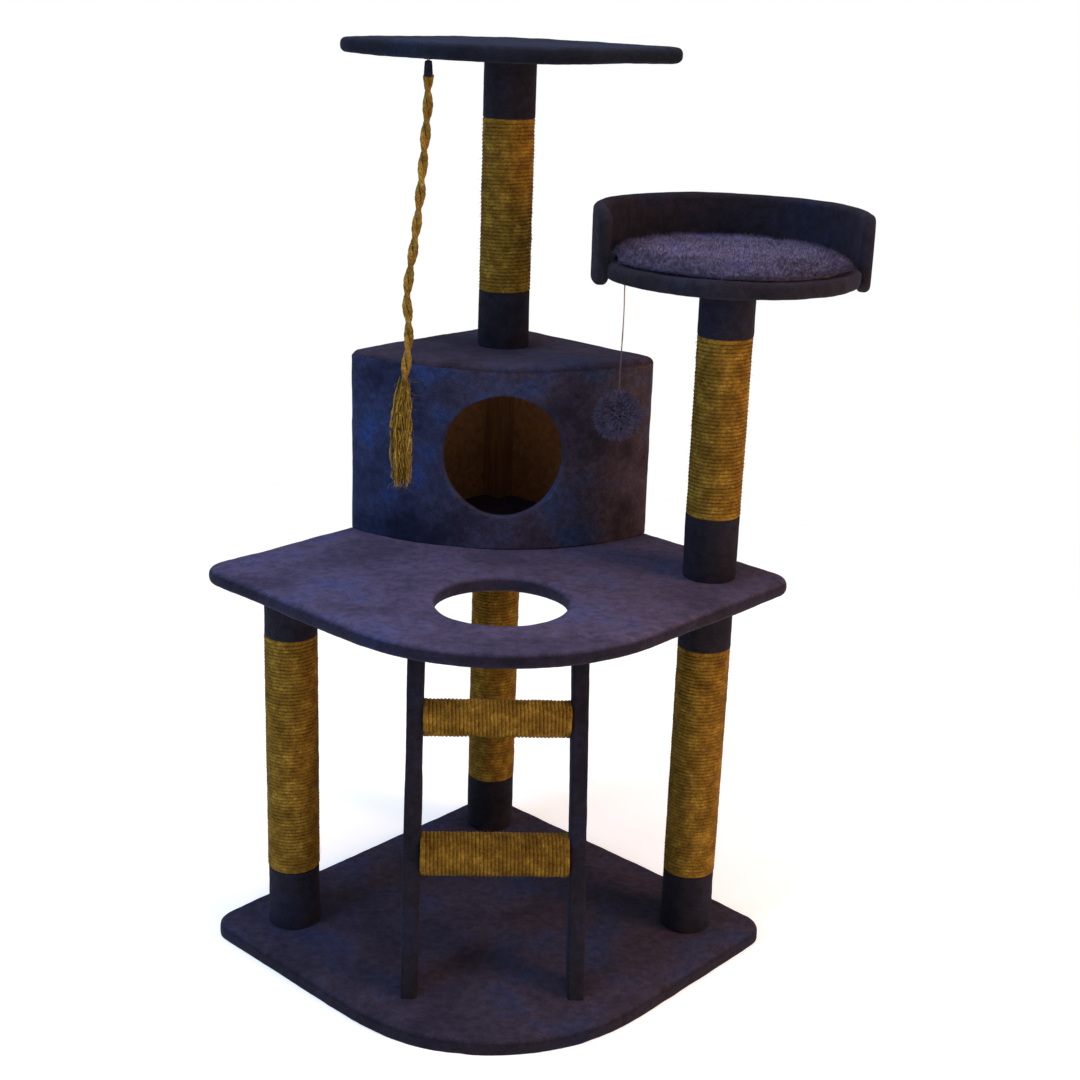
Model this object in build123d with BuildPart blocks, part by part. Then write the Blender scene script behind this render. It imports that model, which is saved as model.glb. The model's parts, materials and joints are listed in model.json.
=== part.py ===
"""Corner cat tree: plush-covered storeys on sisal posts, with a condo, a ladder, a bed and two toys.

Millimetres. +Z is up and -Y is the front. The origin is on the floor, under the centre of the
600 mm square that the base is cut from, which stands on its diagonal with a corner at the back.
Every platform, the condo and the top perch share that back corner.
"""

from build123d import *
import math
import os

os.makedirs("parts", exist_ok=True)

# ---------------------------------------------------------------- driving dimensions
PLUSH = 3.0  # thickness of the plush skin
BOARD = 16.0  # platforms, roof, top and bed boards
BASE_BOARD = 19.0
PLATFORM = BOARD + 2 * PLUSH
EASE = 6.0  # rounding of a board's edges; the skin's is larger by its thickness

SIDE = 600.0  # square that the base and the middle platform are cut from
FRONT_R = 280.0  # the swept front corner
CORNER_R = 38.0  # the left and right corners
BACK_R = 45.0
TOP_SIDE = 360.0  # square that the top perch is cut from
TOP_FRONT_R = 168.0
TOP_CORNER_R = 42.0
HEM = 30.0  # strip of plush turned under the base
HEM_T = 2.0
HATCH_R = 90.0  # hole through the middle platform
HATCH_Y = -114.0

BASE_TOP = BASE_BOARD + PLUSH
LOW_POST = 540.0
MID_LOW = BASE_TOP + LOW_POST
MID_TOP = MID_LOW + PLATFORM
CONDO_H = 274.0
ROOF_TOP = MID_TOP + CONDO_H
TOP_POST = 419.0
TOP_LOW = ROOF_TOP + TOP_POST
BED_POST = 424.0
BED_LOW = MID_TOP + BED_POST

POST_R = 38.0  # over the sisal and the cuffs
TUBE_R = 34.0
TUBE_BORE = 30.0
PLUG = 18.0
SIDE_POST = (297.0, 5.0)
BACK_POST = (0.0, 318.0)
TOP_POST_AT = (0.0, 254.0)

CONDO_R = 325.0  # curved front, about the shared back corner
CONDO_CORNER_R = 16.0
WALL = 12.0
PANEL = 6.0
CORNER_POST = 45.0
DOOR_R = 90.0
DOOR_X = 2.0
DOOR_Z = 724.0
COVER_SEAM_R = 306.0  # the front skin wraps the side corners as far as this

BED_R = 172.0
RIM = 12.0
RIM_SWEEP = 208.0  # degrees of wall, centred on the back
RIM_Z = (1001.0, 1098.0)
RIM_EASE = 20.0
RIM_SCREW_ANGLES = (10, 50, 90, 130, 170)
RIM_SCREW_SINK = 2.0
PAD_R = 166.0
PAD_T = 13.0

RAIL_X = 117.0
RAIL_W = 18.0
RAIL_D = 40.0  # front to back, level with the floor
RAIL_EASE = 1.0
RAIL_FOOT_Y = -187.0
RAIL_HEAD_Y = 15.0
RUNGS = {"lower": (1 / 3, 31.0), "upper": (2 / 3, 27.0)}  # place up the rail, radius over the sisal
RUNG_WRAP = 4.0

M8_R = 4.0
INSERT_R = 6.0
INSERT = 12.0
SCREW = 45.0
SCREW_R = 2.0
SCREW_HEAD_R = 4.0

GAP = 1.0  # at a pivot, so that what swings there clears what holds it
STAPLE_R = 0.6
STAPLE_W = 9.0
LOOP_R = 1.2  # the short loop of cord that each toy swings on
LOOP = 4.0
ROPE_R = 7.5
ROPE_TOP = (-112.0, 60.0)
SLEEVE_R = 6.5
# The rope's own line, from the foot of its sleeve to the head of its tassel.
ROPE_ROUTE = [
    (-112.0, 60.0, 1256.0),
    (-112.0, 60.0, 1205.0),
    (-117.0, 61.0, 1146.0),
    (-122.0, 60.0, 1084.0),
    (-130.0, 59.0, 1020.0),
    (-139.0, 60.0, 962.0),
    (-133.0, 61.0, 912.0),
    (-138.0, 60.0, 866.0),
    (-142.0, 60.0, 822.0),
]
TASSEL = [(-144.0, 60.0, 785.0, 13.0), (-145.5, 60.0, 745.0, 14.0), (-143.0, 60.0, 689.0, 15.0)]
STRING_R = 1.2
STRING_TOP = (157.0, 10.0)
BALL_R = 33.0
BALL_Z = 815.0

# ---------------------------------------------------------------- places worked out from them
DIAGONAL = math.sqrt(2)
BACK_Y = SIDE / DIAGONAL  # the shared back corner
TOP_CENTRE_Y = BACK_Y - TOP_SIDE / DIAGONAL
LEFT_POST = (-SIDE_POST[0], SIDE_POST[1])
LOW_POSTS = [LEFT_POST, SIDE_POST, BACK_POST]
WALL_LOW = MID_TOP
ROOF_LOW = ROOF_TOP - PLUSH - BOARD
BED_TOP = BED_LOW + PLATFORM
RAIL_LEAN = (RAIL_HEAD_Y - RAIL_FOOT_Y) / LOW_POST

# name: (place, foot, head, lower cuff, upper cuff)
POSTS = {
    "left_post": (LEFT_POST, BASE_TOP, MID_LOW, 94.0, 78.0),
    "right_post": (SIDE_POST, BASE_TOP, MID_LOW, 94.0, 84.0),
    "back_post": (BACK_POST, BASE_TOP, MID_LOW, 92.0, 80.0),
    "top_post": (TOP_POST_AT, ROOF_TOP, TOP_LOW, 84.0, 86.0),
    "bed_post": (SIDE_POST, MID_TOP, BED_LOW, 92.0, 78.0),
}


def save(made, name):
    """Label a finished piece and write it to its own file."""
    made.part.label = name
    export_step(made.part, f"parts/{name}.step")


def rounds(places, outer, bore=0.0):
    """Upright discs, rods or tubes, one for each (x, y, foot, head)."""
    with BuildPart() as made:
        for x, y, foot, head in places:
            with BuildSketch(Plane.XY.offset(foot)):
                with Locations((x, y)):
                    Circle(outer)
                    if bore:
                        Circle(bore, mode=Mode.SUBTRACT)
            extrude(amount=head - foot)
    return made


def platform_plan(side, front_r, corner_r, centre_y, inset=0.0):
    """A square on its diagonal with a swept front corner, drawn in from its edge by inset."""
    with BuildSketch(mode=Mode.PRIVATE) as plan:
        with Locations((0, centre_y)):
            Rectangle(side - 2 * inset, side - 2 * inset, rotation=45)
        fillet(plan.vertices().sort_by(Axis.Y)[-1], BACK_R - inset)
        fillet(plan.vertices().sort_by(Axis.Y)[0], front_r - inset)
        fillet(plan.vertices().sort_by(Axis.X)[0], corner_r - inset)
        fillet(plan.vertices().sort_by(Axis.X)[-1], corner_r - inset)
    return plan.sketch


def main_plan(inset=0.0):
    return platform_plan(SIDE, FRONT_R, CORNER_R, 0, inset)


def top_plan(inset=0.0):
    return platform_plan(TOP_SIDE, TOP_FRONT_R, TOP_CORNER_R, TOP_CENTRE_Y, inset)


def corner_square(inset, side=SIDE):
    """A square on its diagonal whose back corner lies inset from both back edges."""
    with BuildSketch(mode=Mode.PRIVATE) as square:
        with Locations((0, BACK_Y - DIAGONAL * inset - side / DIAGONAL)):
            Rectangle(side, side, rotation=45)
    return square.sketch


def condo_plan(inset=0.0):
    """Two straight back walls and a curved front about the back corner."""
    with BuildSketch(mode=Mode.PRIVATE) as plan:
        add(corner_square(inset))
        with Locations((0, BACK_Y)):
            Circle(CONDO_R - inset, mode=Mode.INTERSECT)
        fillet(plan.vertices().sort_by(Axis.Y)[-1], BACK_R - inset)
        fillet(plan.vertices().sort_by(Axis.X)[0], CONDO_CORNER_R - inset)
        fillet(plan.vertices().sort_by(Axis.X)[-1], CONDO_CORNER_R - inset)
    return plan.sketch


def slab(plan, foot, head, ease_low, ease_high, hole=None):
    """A flat board of the given plan, with eased edges and an optional round hole (y, radius)."""
    with BuildPart() as made:
        with BuildSketch(Plane.XY.offset(foot)):
            add(plan)
            if hole:
                with Locations((0, hole[0])):
                    Circle(hole[1], mode=Mode.SUBTRACT)
        extrude(amount=head - foot)
        if ease_high:
            fillet(made.edges().group_by(Axis.Z)[-1], ease_high)
        if ease_low:
            fillet(made.edges().group_by(Axis.Z)[0], ease_low)
    return made


def bend_radii(points):
    """The largest arc that each corner of a free cord has room for."""
    radii = []
    for before, corner, after in zip(points, points[1:], points[2:]):
        run_in = Vector(*corner) - Vector(*before)
        run_out = Vector(*after) - Vector(*corner)
        half_turn = math.radians(run_in.get_angle(run_out)) / 2
        radii.append(0.45 * min(run_in.length, run_out.length) / math.tan(half_turn))
    return radii


# ---------------------------------------------------------------- fasteners
# Bolts come up through the base into the low posts, and through the roof into the top post.
BOLT_HEAD_R = 6.5
BOLT_HEAD = 8.0
BOLT = 30.0
WASHER_R = 12.0
WASHER = 1.6
SOCKET_R = 3.5
COUNTERBORE = 11.0
bolt_seats = [(x, y, COUNTERBORE) for x, y in LOW_POSTS] + [(*TOP_POST_AT, ROOF_LOW)]

post_washers = rounds([(x, y, z - WASHER, z) for x, y, z in bolt_seats], WASHER_R, M8_R)

with BuildPart() as post_bolts:
    for seat_x, seat_y, seat_z in bolt_seats:
        head_low = seat_z - WASHER - BOLT_HEAD
        with BuildSketch(Plane.XY.offset(head_low)):
            with Locations((seat_x, seat_y)):
                Circle(BOLT_HEAD_R)
        extrude(amount=BOLT_HEAD)
        with BuildSketch(Plane.XY.offset(head_low + BOLT_HEAD)):
            with Locations((seat_x, seat_y)):
                Circle(M8_R)
        extrude(amount=BOLT)
        with BuildSketch(Plane.XY.offset(head_low)):
            with Locations((seat_x, seat_y)):
                RegularPolygon(SOCKET_R, 6)
        extrude(amount=BOLT_HEAD / 2, mode=Mode.SUBTRACT)

# Double-ended studs join a post's head to the insert in the board above it. The long one goes
# right through the middle platform, from the right post into the bed post.
STUD_IN = 14.0
stud_heads = [
    (*LEFT_POST, MID_LOW),
    (*BACK_POST, MID_LOW),
    (*TOP_POST_AT, TOP_LOW),
    (*SIDE_POST, BED_LOW),
]
stud_runs = [(x, y, z - STUD_IN, z + PLUSH + INSERT) for x, y, z in stud_heads]
stud_runs.append((*SIDE_POST, MID_LOW - STUD_IN, MID_TOP + STUD_IN))
post_studs = rounds(stud_runs, M8_R)

insert_runs = [(x, y, z + PLUSH, z + PLUSH + INSERT) for x, y, z in stud_heads]
plug_runs = []
for (post_x, post_y), foot, head, _, _ in POSTS.values():
    insert_runs.append((post_x, post_y, foot, foot + INSERT))
    insert_runs.append((post_x, post_y, head - INSERT, head))
    plug_runs.append((post_x, post_y, foot, foot + PLUG))
    plug_runs.append((post_x, post_y, head - PLUG, head))
threaded_inserts = rounds(insert_runs, INSERT_R, M8_R)

# One kind of countersunk wood screw, drawn point up with its head's face at the origin.
with BuildPart() as screw:
    with BuildSketch(Plane.XZ):
        with BuildLine():
            Polyline(
                (0, 0),
                (SCREW_HEAD_R, 0),
                (SCREW_R, SCREW_HEAD_R - SCREW_R),
                (SCREW_R, SCREW - 2 * SCREW_R),
                (0, SCREW),
                close=True,
            )
        make_face()
    revolve(axis=Axis.Z)

UP = (0, 0, 0)
DOWN = (180, 0, 0)
WALL_SCREWS = (110.0, 270.0)  # distances along each condo wall from the back corner
screw_places = []
for side in (-1, 1):
    for along in WALL_SCREWS:
        middle = PLUSH + WALL / 2
        wall_x = side * (along - middle) / DIAGONAL
        wall_y = BACK_Y - (along + middle) / DIAGONAL
        screw_places.append(Location((wall_x, wall_y, MID_LOW + PLUSH), UP))
        screw_places.append(Location((wall_x, wall_y, ROOF_TOP - PLUSH), DOWN))
    screw_places.append(Location((side * RAIL_X, RAIL_FOOT_Y, HEM_T), UP))
    screw_places.append(Location((side * RAIL_X, RAIL_HEAD_Y, MID_TOP - PLUSH), DOWN))
    for share, _ in RUNGS.values():
        rung_y = RAIL_FOOT_Y + share * LOW_POST * RAIL_LEAN
        rung_z = BASE_TOP + share * LOW_POST
        rung_end = (side * (RAIL_X + RAIL_W / 2), rung_y, rung_z)
        screw_places.append(Location(rung_end, (0, -90 * side, 0)))
rim_screw_places = []
for angle in RIM_SCREW_ANGLES:
    head_r = BED_R + RIM - RIM_SCREW_SINK
    rim_x = SIDE_POST[0] + head_r * math.cos(math.radians(angle))
    rim_y = SIDE_POST[1] + head_r * math.sin(math.radians(angle))
    inward = Plane(
        origin=(rim_x, rim_y, BED_LOW + PLATFORM / 2),
        z_dir=(SIDE_POST[0] - rim_x, SIDE_POST[1] - rim_y, 0),
    )
    rim_screw_places.append(inward.location)
screw_places += rim_screw_places

with BuildPart() as wood_screws:
    with Locations(*screw_places):
        add(screw.part)

# Staples hold the two toys under the top perch and under the bed.
with BuildPart() as toy_staples:
    for (toy_x, toy_y), under in ((ROPE_TOP, TOP_LOW), (STRING_TOP, BED_LOW)):
        leg = PLUSH + STAPLE_W
        with BuildLine() as wire:
            Polyline(
                (toy_x, toy_y - STAPLE_W / 2, under + leg),
                (toy_x, toy_y - STAPLE_W / 2, under - STAPLE_R),
                (toy_x, toy_y + STAPLE_W / 2, under - STAPLE_R),
                (toy_x, toy_y + STAPLE_W / 2, under + leg),
            )
        with BuildSketch(Plane(origin=(toy_x, toy_y - STAPLE_W / 2, under + leg), z_dir=(0, 0, -1))):
            Rectangle(2 * STAPLE_R, 2 * STAPLE_R)
        sweep(path=wire.wire(), transition=Transition.RIGHT)

fasteners = {
    "post_washers": post_washers,
    "post_bolts": post_bolts,
    "post_studs": post_studs,
    "threaded_inserts": threaded_inserts,
    "wood_screws": wood_screws,
    "toy_staples": toy_staples,
}
for name, made in fasteners.items():
    save(made, name)


def drilled(made, hollow=None):
    """A piece less the room of every fastener and of what it covers."""
    with BuildPart() as holed:
        add(made.part)
        if hollow:
            add(hollow.part, mode=Mode.SUBTRACT)
        for fastener in fasteners.values():
            add(fastener.part, mode=Mode.SUBTRACT)
    return holed


# ---------------------------------------------------------------- base
with BuildPart() as base_board:
    with BuildSketch(Plane.XY.offset(HEM_T)):
        add(main_plan(PLUSH))
    extrude(amount=BASE_BOARD - HEM_T)
    fillet(base_board.edges().group_by(Axis.Z)[-1], EASE)
    with BuildSketch():
        add(main_plan(HEM))
    extrude(amount=HEM_T)
    with BuildSketch():
        with Locations(*LOW_POSTS):
            Circle(WASHER_R + 1)
    extrude(amount=COUNTERBORE, mode=Mode.SUBTRACT)
save(drilled(base_board), "base_board")

base_blank = slab(main_plan(), 0, BASE_TOP, 0, EASE + PLUSH)
base_fill = slab(main_plan(PLUSH), HEM_T, BASE_BOARD, 0, EASE)
with BuildPart() as base_cover:
    add(base_blank.part)
    with BuildSketch():
        add(main_plan(HEM))
    extrude(amount=HEM_T, mode=Mode.SUBTRACT)
save(drilled(base_cover, base_fill), "base_cover")

# ---------------------------------------------------------------- middle platform and top perch
SKIN_EASE = EASE + PLUSH
board_hole = (HATCH_Y, HATCH_R + PLUSH)
mid_board = slab(main_plan(PLUSH), MID_LOW + PLUSH, MID_TOP - PLUSH, EASE, EASE, board_hole)
top_board = slab(top_plan(PLUSH), TOP_LOW + PLUSH, TOP_LOW + PLUSH + BOARD, EASE, EASE)
mid_cover = slab(main_plan(), MID_LOW, MID_TOP, SKIN_EASE, SKIN_EASE, (HATCH_Y, HATCH_R))
top_cover = slab(top_plan(), TOP_LOW, TOP_LOW + PLATFORM, SKIN_EASE, SKIN_EASE)
for name, cover, board in (("mid", mid_cover, mid_board), ("top", top_cover, top_board)):
    save(drilled(cover, board), f"{name}_cover")
    save(drilled(board), f"{name}_board")

# ---------------------------------------------------------------- posts
post_plugs = rounds(plug_runs, TUBE_BORE)
save(drilled(post_plugs), "post_plugs")
for name, ((post_x, post_y), foot, head, low_cuff, high_cuff) in POSTS.items():
    stack = {
        "tube": (foot, head, TUBE_R, TUBE_BORE),
        "lower_cuff": (foot, foot + low_cuff, POST_R, TUBE_R),
        "sisal": (foot + low_cuff, head - high_cuff, POST_R, TUBE_R),
        "upper_cuff": (head - high_cuff, head, POST_R, TUBE_R),
    }
    for piece, (low, high, outer, bore) in stack.items():
        save(rounds([(post_x, post_y, low, high)], outer, bore), f"{name}_{piece}")

# ---------------------------------------------------------------- condo
WALL_H = ROOF_LOW - WALL_LOW
PANEL_BACK_R = CONDO_R - PLUSH - PANEL


def doorway(radius):
    """The round way in, cut straight back through the front."""
    depth = DOOR_R + WALL  # more than the front curves back across the door
    with BuildPart() as hole:
        with BuildSketch(Plane.XZ.offset(CONDO_R - BACK_Y)):
            with Locations((DOOR_X, DOOR_Z)):
                Circle(radius)
        extrude(amount=depth, both=True)
    return hole.part


door_in_panel = doorway(DOOR_R + PLUSH)
door_in_cover = doorway(DOOR_R)
for name, side in (("left", -1), ("right", 1)):
    with BuildPart() as condo_wall:
        with BuildSketch(Plane.XY.offset(WALL_LOW)):
            add(condo_plan(PLUSH))
            with Locations((0, BACK_Y)):
                Circle(PANEL_BACK_R, mode=Mode.INTERSECT)
            add(corner_square(PLUSH + WALL), mode=Mode.SUBTRACT)
            add(corner_square(PLUSH, CORNER_POST), mode=Mode.SUBTRACT)
            with Locations((side * SIDE / 2, BACK_Y - SIDE / 2)):
                Rectangle(SIDE, 2 * SIDE, mode=Mode.INTERSECT)
        extrude(amount=WALL_H)
    save(drilled(condo_wall), f"condo_{name}_wall")

with BuildPart() as condo_corner_post:
    with BuildSketch(Plane.XY.offset(WALL_LOW)):
        add(condo_plan(PLUSH))
        add(corner_square(PLUSH, CORNER_POST), mode=Mode.INTERSECT)
    extrude(amount=WALL_H)
save(condo_corner_post, "condo_corner_post")

with BuildPart() as condo_front_panel:
    with BuildSketch(Plane.XY.offset(WALL_LOW)):
        add(condo_plan(PLUSH))
        with Locations((0, BACK_Y)):
            Circle(PANEL_BACK_R, mode=Mode.SUBTRACT)
    extrude(amount=WALL_H)
    add(door_in_panel, mode=Mode.SUBTRACT)
save(condo_front_panel, "condo_front_panel")

with BuildPart() as condo_front_cover:
    with BuildSketch(Plane.XY.offset(WALL_LOW)):
        add(condo_plan())
        with Locations((0, BACK_Y)):
            Circle(PANEL_BACK_R, mode=Mode.SUBTRACT)
    extrude(amount=WALL_H)
    add(condo_front_panel.part, mode=Mode.SUBTRACT)
    add(door_in_cover, mode=Mode.SUBTRACT)
    with BuildSketch(Plane.XY.offset(WALL_LOW)):
        add(condo_plan())
        add(condo_plan(PLUSH), mode=Mode.SUBTRACT)
        with Locations((0, BACK_Y)):
            Circle(COVER_SEAM_R, mode=Mode.SUBTRACT)
            Circle(PANEL_BACK_R, mode=Mode.INTERSECT)
    extrude(amount=WALL_H)
save(condo_front_cover, "condo_front_cover")

with BuildPart() as condo_back_cover:
    with BuildSketch(Plane.XY.offset(WALL_LOW)):
        add(condo_plan())
        add(condo_plan(PLUSH), mode=Mode.SUBTRACT)
        with Locations((0, BACK_Y)):
            Circle(COVER_SEAM_R, mode=Mode.INTERSECT)
    extrude(amount=WALL_H)
save(condo_back_cover, "condo_back_cover")

condo_roof_board = slab(condo_plan(PLUSH), ROOF_LOW, ROOF_TOP - PLUSH, 0, EASE)
condo_roof_cover = slab(condo_plan(), ROOF_LOW, ROOF_TOP, 0, EASE + PLUSH)
save(drilled(condo_roof_cover, condo_roof_board), "condo_roof_cover")
save(drilled(condo_roof_board), "condo_roof_board")

# ---------------------------------------------------------------- bed
with BuildSketch() as bed_disc:
    with Locations(SIDE_POST):
        Circle(BED_R)
with BuildSketch() as bed_disc_covered:
    with Locations(SIDE_POST):
        Circle(BED_R + PLUSH)
bed_board = slab(bed_disc.sketch, BED_LOW + PLUSH, BED_TOP - PLUSH, 0, 0)


def rim_wall(inset):
    """The bent wall round the back of the bed, with rounded ends, drawn in all round by inset."""
    low = RIM_Z[0] + inset
    high = RIM_Z[1] - inset
    inner = BED_R + inset
    outer = BED_R + RIM - inset
    half = math.radians(RIM_SWEEP / 2) - inset / BED_R
    with BuildPart() as wall:
        with BuildSketch(Plane.XY.offset(low)):
            with Locations(SIDE_POST):
                Circle(outer)
                Circle(inner, mode=Mode.SUBTRACT)
            with BuildLine():
                reach = 2 * outer
                tips = [(side * reach * math.sin(half), reach * math.cos(half)) for side in (-1, 1)]
                points = [(0, 0), tips[0], (-reach, reach), (reach, reach), tips[1]]
                Polyline(*[(SIDE_POST[0] + x, SIDE_POST[1] + y) for x, y in points], close=True)
            make_face(mode=Mode.INTERSECT)
        extrude(amount=high - low)
        across = wall.edges().filter_by(GeomType.LINE)
        fillet(across.filter_by(Axis.Z, reverse=True), RIM_EASE - inset)
    return wall


bed_rim = rim_wall(0)
rim_skin = rim_wall(-PLUSH)
with BuildPart() as bed_cover:
    add(rim_skin.part)
    with BuildSketch(Plane.XY.offset(BED_LOW)):
        add(bed_disc_covered.sketch)
    extrude(amount=PLATFORM)
    add(bed_rim.part, mode=Mode.SUBTRACT)
save(drilled(bed_cover, bed_board), "bed_cover")
rim_holed = drilled(bed_rim)
OUTWARD = (Align.CENTER, Align.CENTER, Align.MAX)
SINK_R = SCREW_HEAD_R + 0.5
with BuildPart() as rim_sunk:
    add(rim_holed.part)
    with Locations(*rim_screw_places):
        Cylinder(SINK_R, 3 * RIM_SCREW_SINK, align=OUTWARD, mode=Mode.SUBTRACT)
save(rim_sunk, "bed_rim")
save(drilled(bed_board), "bed_board")

with BuildPart() as bed_pad:
    with BuildSketch(Plane.XY.offset(BED_TOP)):
        with Locations(SIDE_POST):
            Circle(PAD_R)
    extrude(amount=PAD_T)
    fillet(bed_pad.edges().group_by(Axis.Z)[-1], PAD_T / 2)
save(bed_pad, "bed_pad")


# ---------------------------------------------------------------- ladder
def rail_bar(side, skin):
    """A slat that leans back from the base to the middle platform, its ends cut level."""
    with BuildPart() as bar:
        with BuildSketch(Plane.YZ.offset(side * RAIL_X)):
            with BuildLine():
                front = RAIL_D / 2 + skin
                Polyline(
                    (RAIL_FOOT_Y - front, BASE_TOP),
                    (RAIL_FOOT_Y + front, BASE_TOP),
                    (RAIL_HEAD_Y + front, MID_LOW),
                    (RAIL_HEAD_Y - front, MID_LOW),
                    close=True,
                )
            make_face()
        extrude(amount=RAIL_W / 2 + skin, both=True)
        fillet(bar.edges().filter_by(lambda e: e.length > LOW_POST), RAIL_EASE + skin)
    return bar


for name, side in (("left", -1), ("right", 1)):
    rail = rail_bar(side, 0)
    rail_cover = rail_bar(side, PLUSH)
    save(drilled(rail_cover, rail), f"ladder_{name}_cover")
    save(drilled(rail), f"ladder_{name}_rail")

rung_half = RAIL_X - RAIL_W / 2 - PLUSH
with BuildPart() as rung_cores:
    for share, outer in RUNGS.values():
        rung_at = (RAIL_FOOT_Y + share * LOW_POST * RAIL_LEAN, BASE_TOP + share * LOW_POST)
        with BuildSketch(Plane.YZ):
            with Locations(rung_at):
                Circle(outer - RUNG_WRAP)
        extrude(amount=rung_half, both=True)
save(drilled(rung_cores), "rung_cores")
for name, (share, outer) in RUNGS.items():
    rung_at = (RAIL_FOOT_Y + share * LOW_POST * RAIL_LEAN, BASE_TOP + share * LOW_POST)
    with BuildPart() as rung_sisal:
        with BuildSketch(Plane.YZ):
            with Locations(rung_at):
                Circle(outer)
                Circle(outer - RUNG_WRAP, mode=Mode.SUBTRACT)
        extrude(amount=rung_half, both=True)
    save(rung_sisal, f"{name}_rung_sisal")

# ---------------------------------------------------------------- rope toy
TAB_TOP = TOP_LOW - 2 * STAPLE_R - GAP
SLEEVE_TOP = TAB_TOP - LOOP - GAP
save(rounds([(*ROPE_TOP, TAB_TOP - LOOP, TAB_TOP)], LOOP_R), "rope_tab")

with BuildPart() as rope_sleeve:
    with BuildSketch(Plane(origin=(*ROPE_TOP, 0), x_dir=(1, 0, 0), z_dir=(0, -1, 0))):
        with BuildLine():
            Line((0, ROPE_ROUTE[0][2]), (SLEEVE_R, ROPE_ROUTE[0][2]))
            Line((SLEEVE_R, ROPE_ROUTE[0][2]), (SLEEVE_R, SLEEVE_TOP - SLEEVE_R))
            RadiusArc((SLEEVE_R, SLEEVE_TOP - SLEEVE_R), (0, SLEEVE_TOP), -SLEEVE_R)
            Line((0, SLEEVE_TOP), (0, ROPE_ROUTE[0][2]))
        make_face()
    revolve(axis=Axis((*ROPE_TOP, 0), (0, 0, 1)))
save(rope_sleeve, "rope_sleeve")

rope_radii = bend_radii(ROPE_ROUTE)
print("rope bend radii:", [round(r) for r in rope_radii])
rope_end = Vector(*ROPE_ROUTE[-1])
rope_way = (rope_end - Vector(*ROPE_ROUTE[-2])).normalized()
with BuildPart() as rope:
    with BuildLine() as rope_path:
        FilletPolyline(*ROPE_ROUTE, radius=rope_radii)
    with BuildSketch(Plane(origin=ROPE_ROUTE[0], z_dir=Vector(*ROPE_ROUTE[1]) - Vector(*ROPE_ROUTE[0]))):
        Circle(ROPE_R)
    sweep(path=rope_path.wire())
rope_length = rope_path.wire().length
plain_volume = math.pi * ROPE_R**2 * rope_length
print("rope length", round(rope_length, 1))
print("volume / (section x length)", round(rope.part.volume / plain_volume, 4))
save(rope, "rope")

with BuildPart() as rope_tassel:
    with BuildSketch(Plane(origin=rope_end, z_dir=rope_way)):
        Circle(ROPE_R + 2)
    for x, y, z, radius in TASSEL:
        with BuildSketch(Plane(origin=(x, y, z), z_dir=(0, 0, -1))):
            Circle(radius)
    loft()
save(rope_tassel, "rope_tassel")

# ---------------------------------------------------------------- pompom toy
LOOP_TOP = BED_LOW - 2 * STAPLE_R - GAP
STRING_HEAD = LOOP_TOP - LOOP - GAP
STRING_FOOT = BALL_Z + BALL_R + GAP / 2
save(rounds([(*STRING_TOP, LOOP_TOP - LOOP, LOOP_TOP)], LOOP_R), "string_loop")
save(rounds([(*STRING_TOP, STRING_FOOT, STRING_HEAD)], STRING_R), "pompom_string")
with BuildPart() as pompom_ball:
    with Locations((*STRING_TOP, BALL_Z)):
        Sphere(BALL_R)
save(pompom_ball, "pompom_ball")
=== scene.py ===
"""Looks of the corner cat tree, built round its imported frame.

Metres. +Z is up and -Y is the front. The origin is on the floor, under the middle of the base.
Most of the tree is a flat thing under plush: a board, a wall, a cuff or a slat. slab() makes such
a piece from an outline, a core to draw in to, and a profile that says how the skin goes round.
"""

import json
import math

import bmesh
import bpy
import numpy as np
from mathutils import Matrix, Vector


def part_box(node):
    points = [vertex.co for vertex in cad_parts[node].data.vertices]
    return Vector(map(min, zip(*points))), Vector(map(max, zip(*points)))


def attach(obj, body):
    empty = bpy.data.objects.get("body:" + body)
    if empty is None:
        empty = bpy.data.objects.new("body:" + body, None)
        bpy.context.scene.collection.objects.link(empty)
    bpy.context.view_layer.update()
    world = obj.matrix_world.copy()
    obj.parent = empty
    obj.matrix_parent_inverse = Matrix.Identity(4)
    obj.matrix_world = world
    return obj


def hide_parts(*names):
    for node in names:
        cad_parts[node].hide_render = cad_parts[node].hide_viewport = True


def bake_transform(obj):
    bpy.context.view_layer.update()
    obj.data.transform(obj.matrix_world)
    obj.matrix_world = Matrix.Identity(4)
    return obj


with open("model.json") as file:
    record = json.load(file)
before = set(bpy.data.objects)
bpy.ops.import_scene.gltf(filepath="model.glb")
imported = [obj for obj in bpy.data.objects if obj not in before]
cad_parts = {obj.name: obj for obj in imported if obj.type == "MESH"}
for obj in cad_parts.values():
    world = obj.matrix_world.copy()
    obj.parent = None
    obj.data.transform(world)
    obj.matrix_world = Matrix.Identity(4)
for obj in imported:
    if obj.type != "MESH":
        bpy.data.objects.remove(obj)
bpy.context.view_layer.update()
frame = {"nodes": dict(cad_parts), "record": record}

# ---------------------------------------------------------------- driving dimensions
SKIN = 0.003  # thickness of the plush
EASE = 0.009  # rounding of a covered board's edge
ROOF_EASE = 0.011  # rounding of the condo roof's edge
ROOF_SEAM_DROP = 0.0068  # from the roof's top down to where the walls' skins meet it
SIDE = 0.6  # square that the base and the middle platform are cut from
BACK_Y = SIDE / math.sqrt(2)  # back corner shared by every storey
FRONT_R, CORNER_R, BACK_R = 0.28, 0.038, 0.045
TOP_SIDE = 0.36
TOP_FRONT_R, TOP_CORNER_R = 0.168, 0.042
TOP_MIDDLE = (0, 0.17)
HEM, HEM_T = 0.03, 0.002
HATCH_AT, HATCH_R = (0.0, -0.114), 0.09
SIDE_POST = (0.297, 0.005)
BACK_POST = (0.0, 0.318)
TOP_POST = (0.0, 0.254)
POST_R, TUBE_R = 0.038, 0.034
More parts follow.
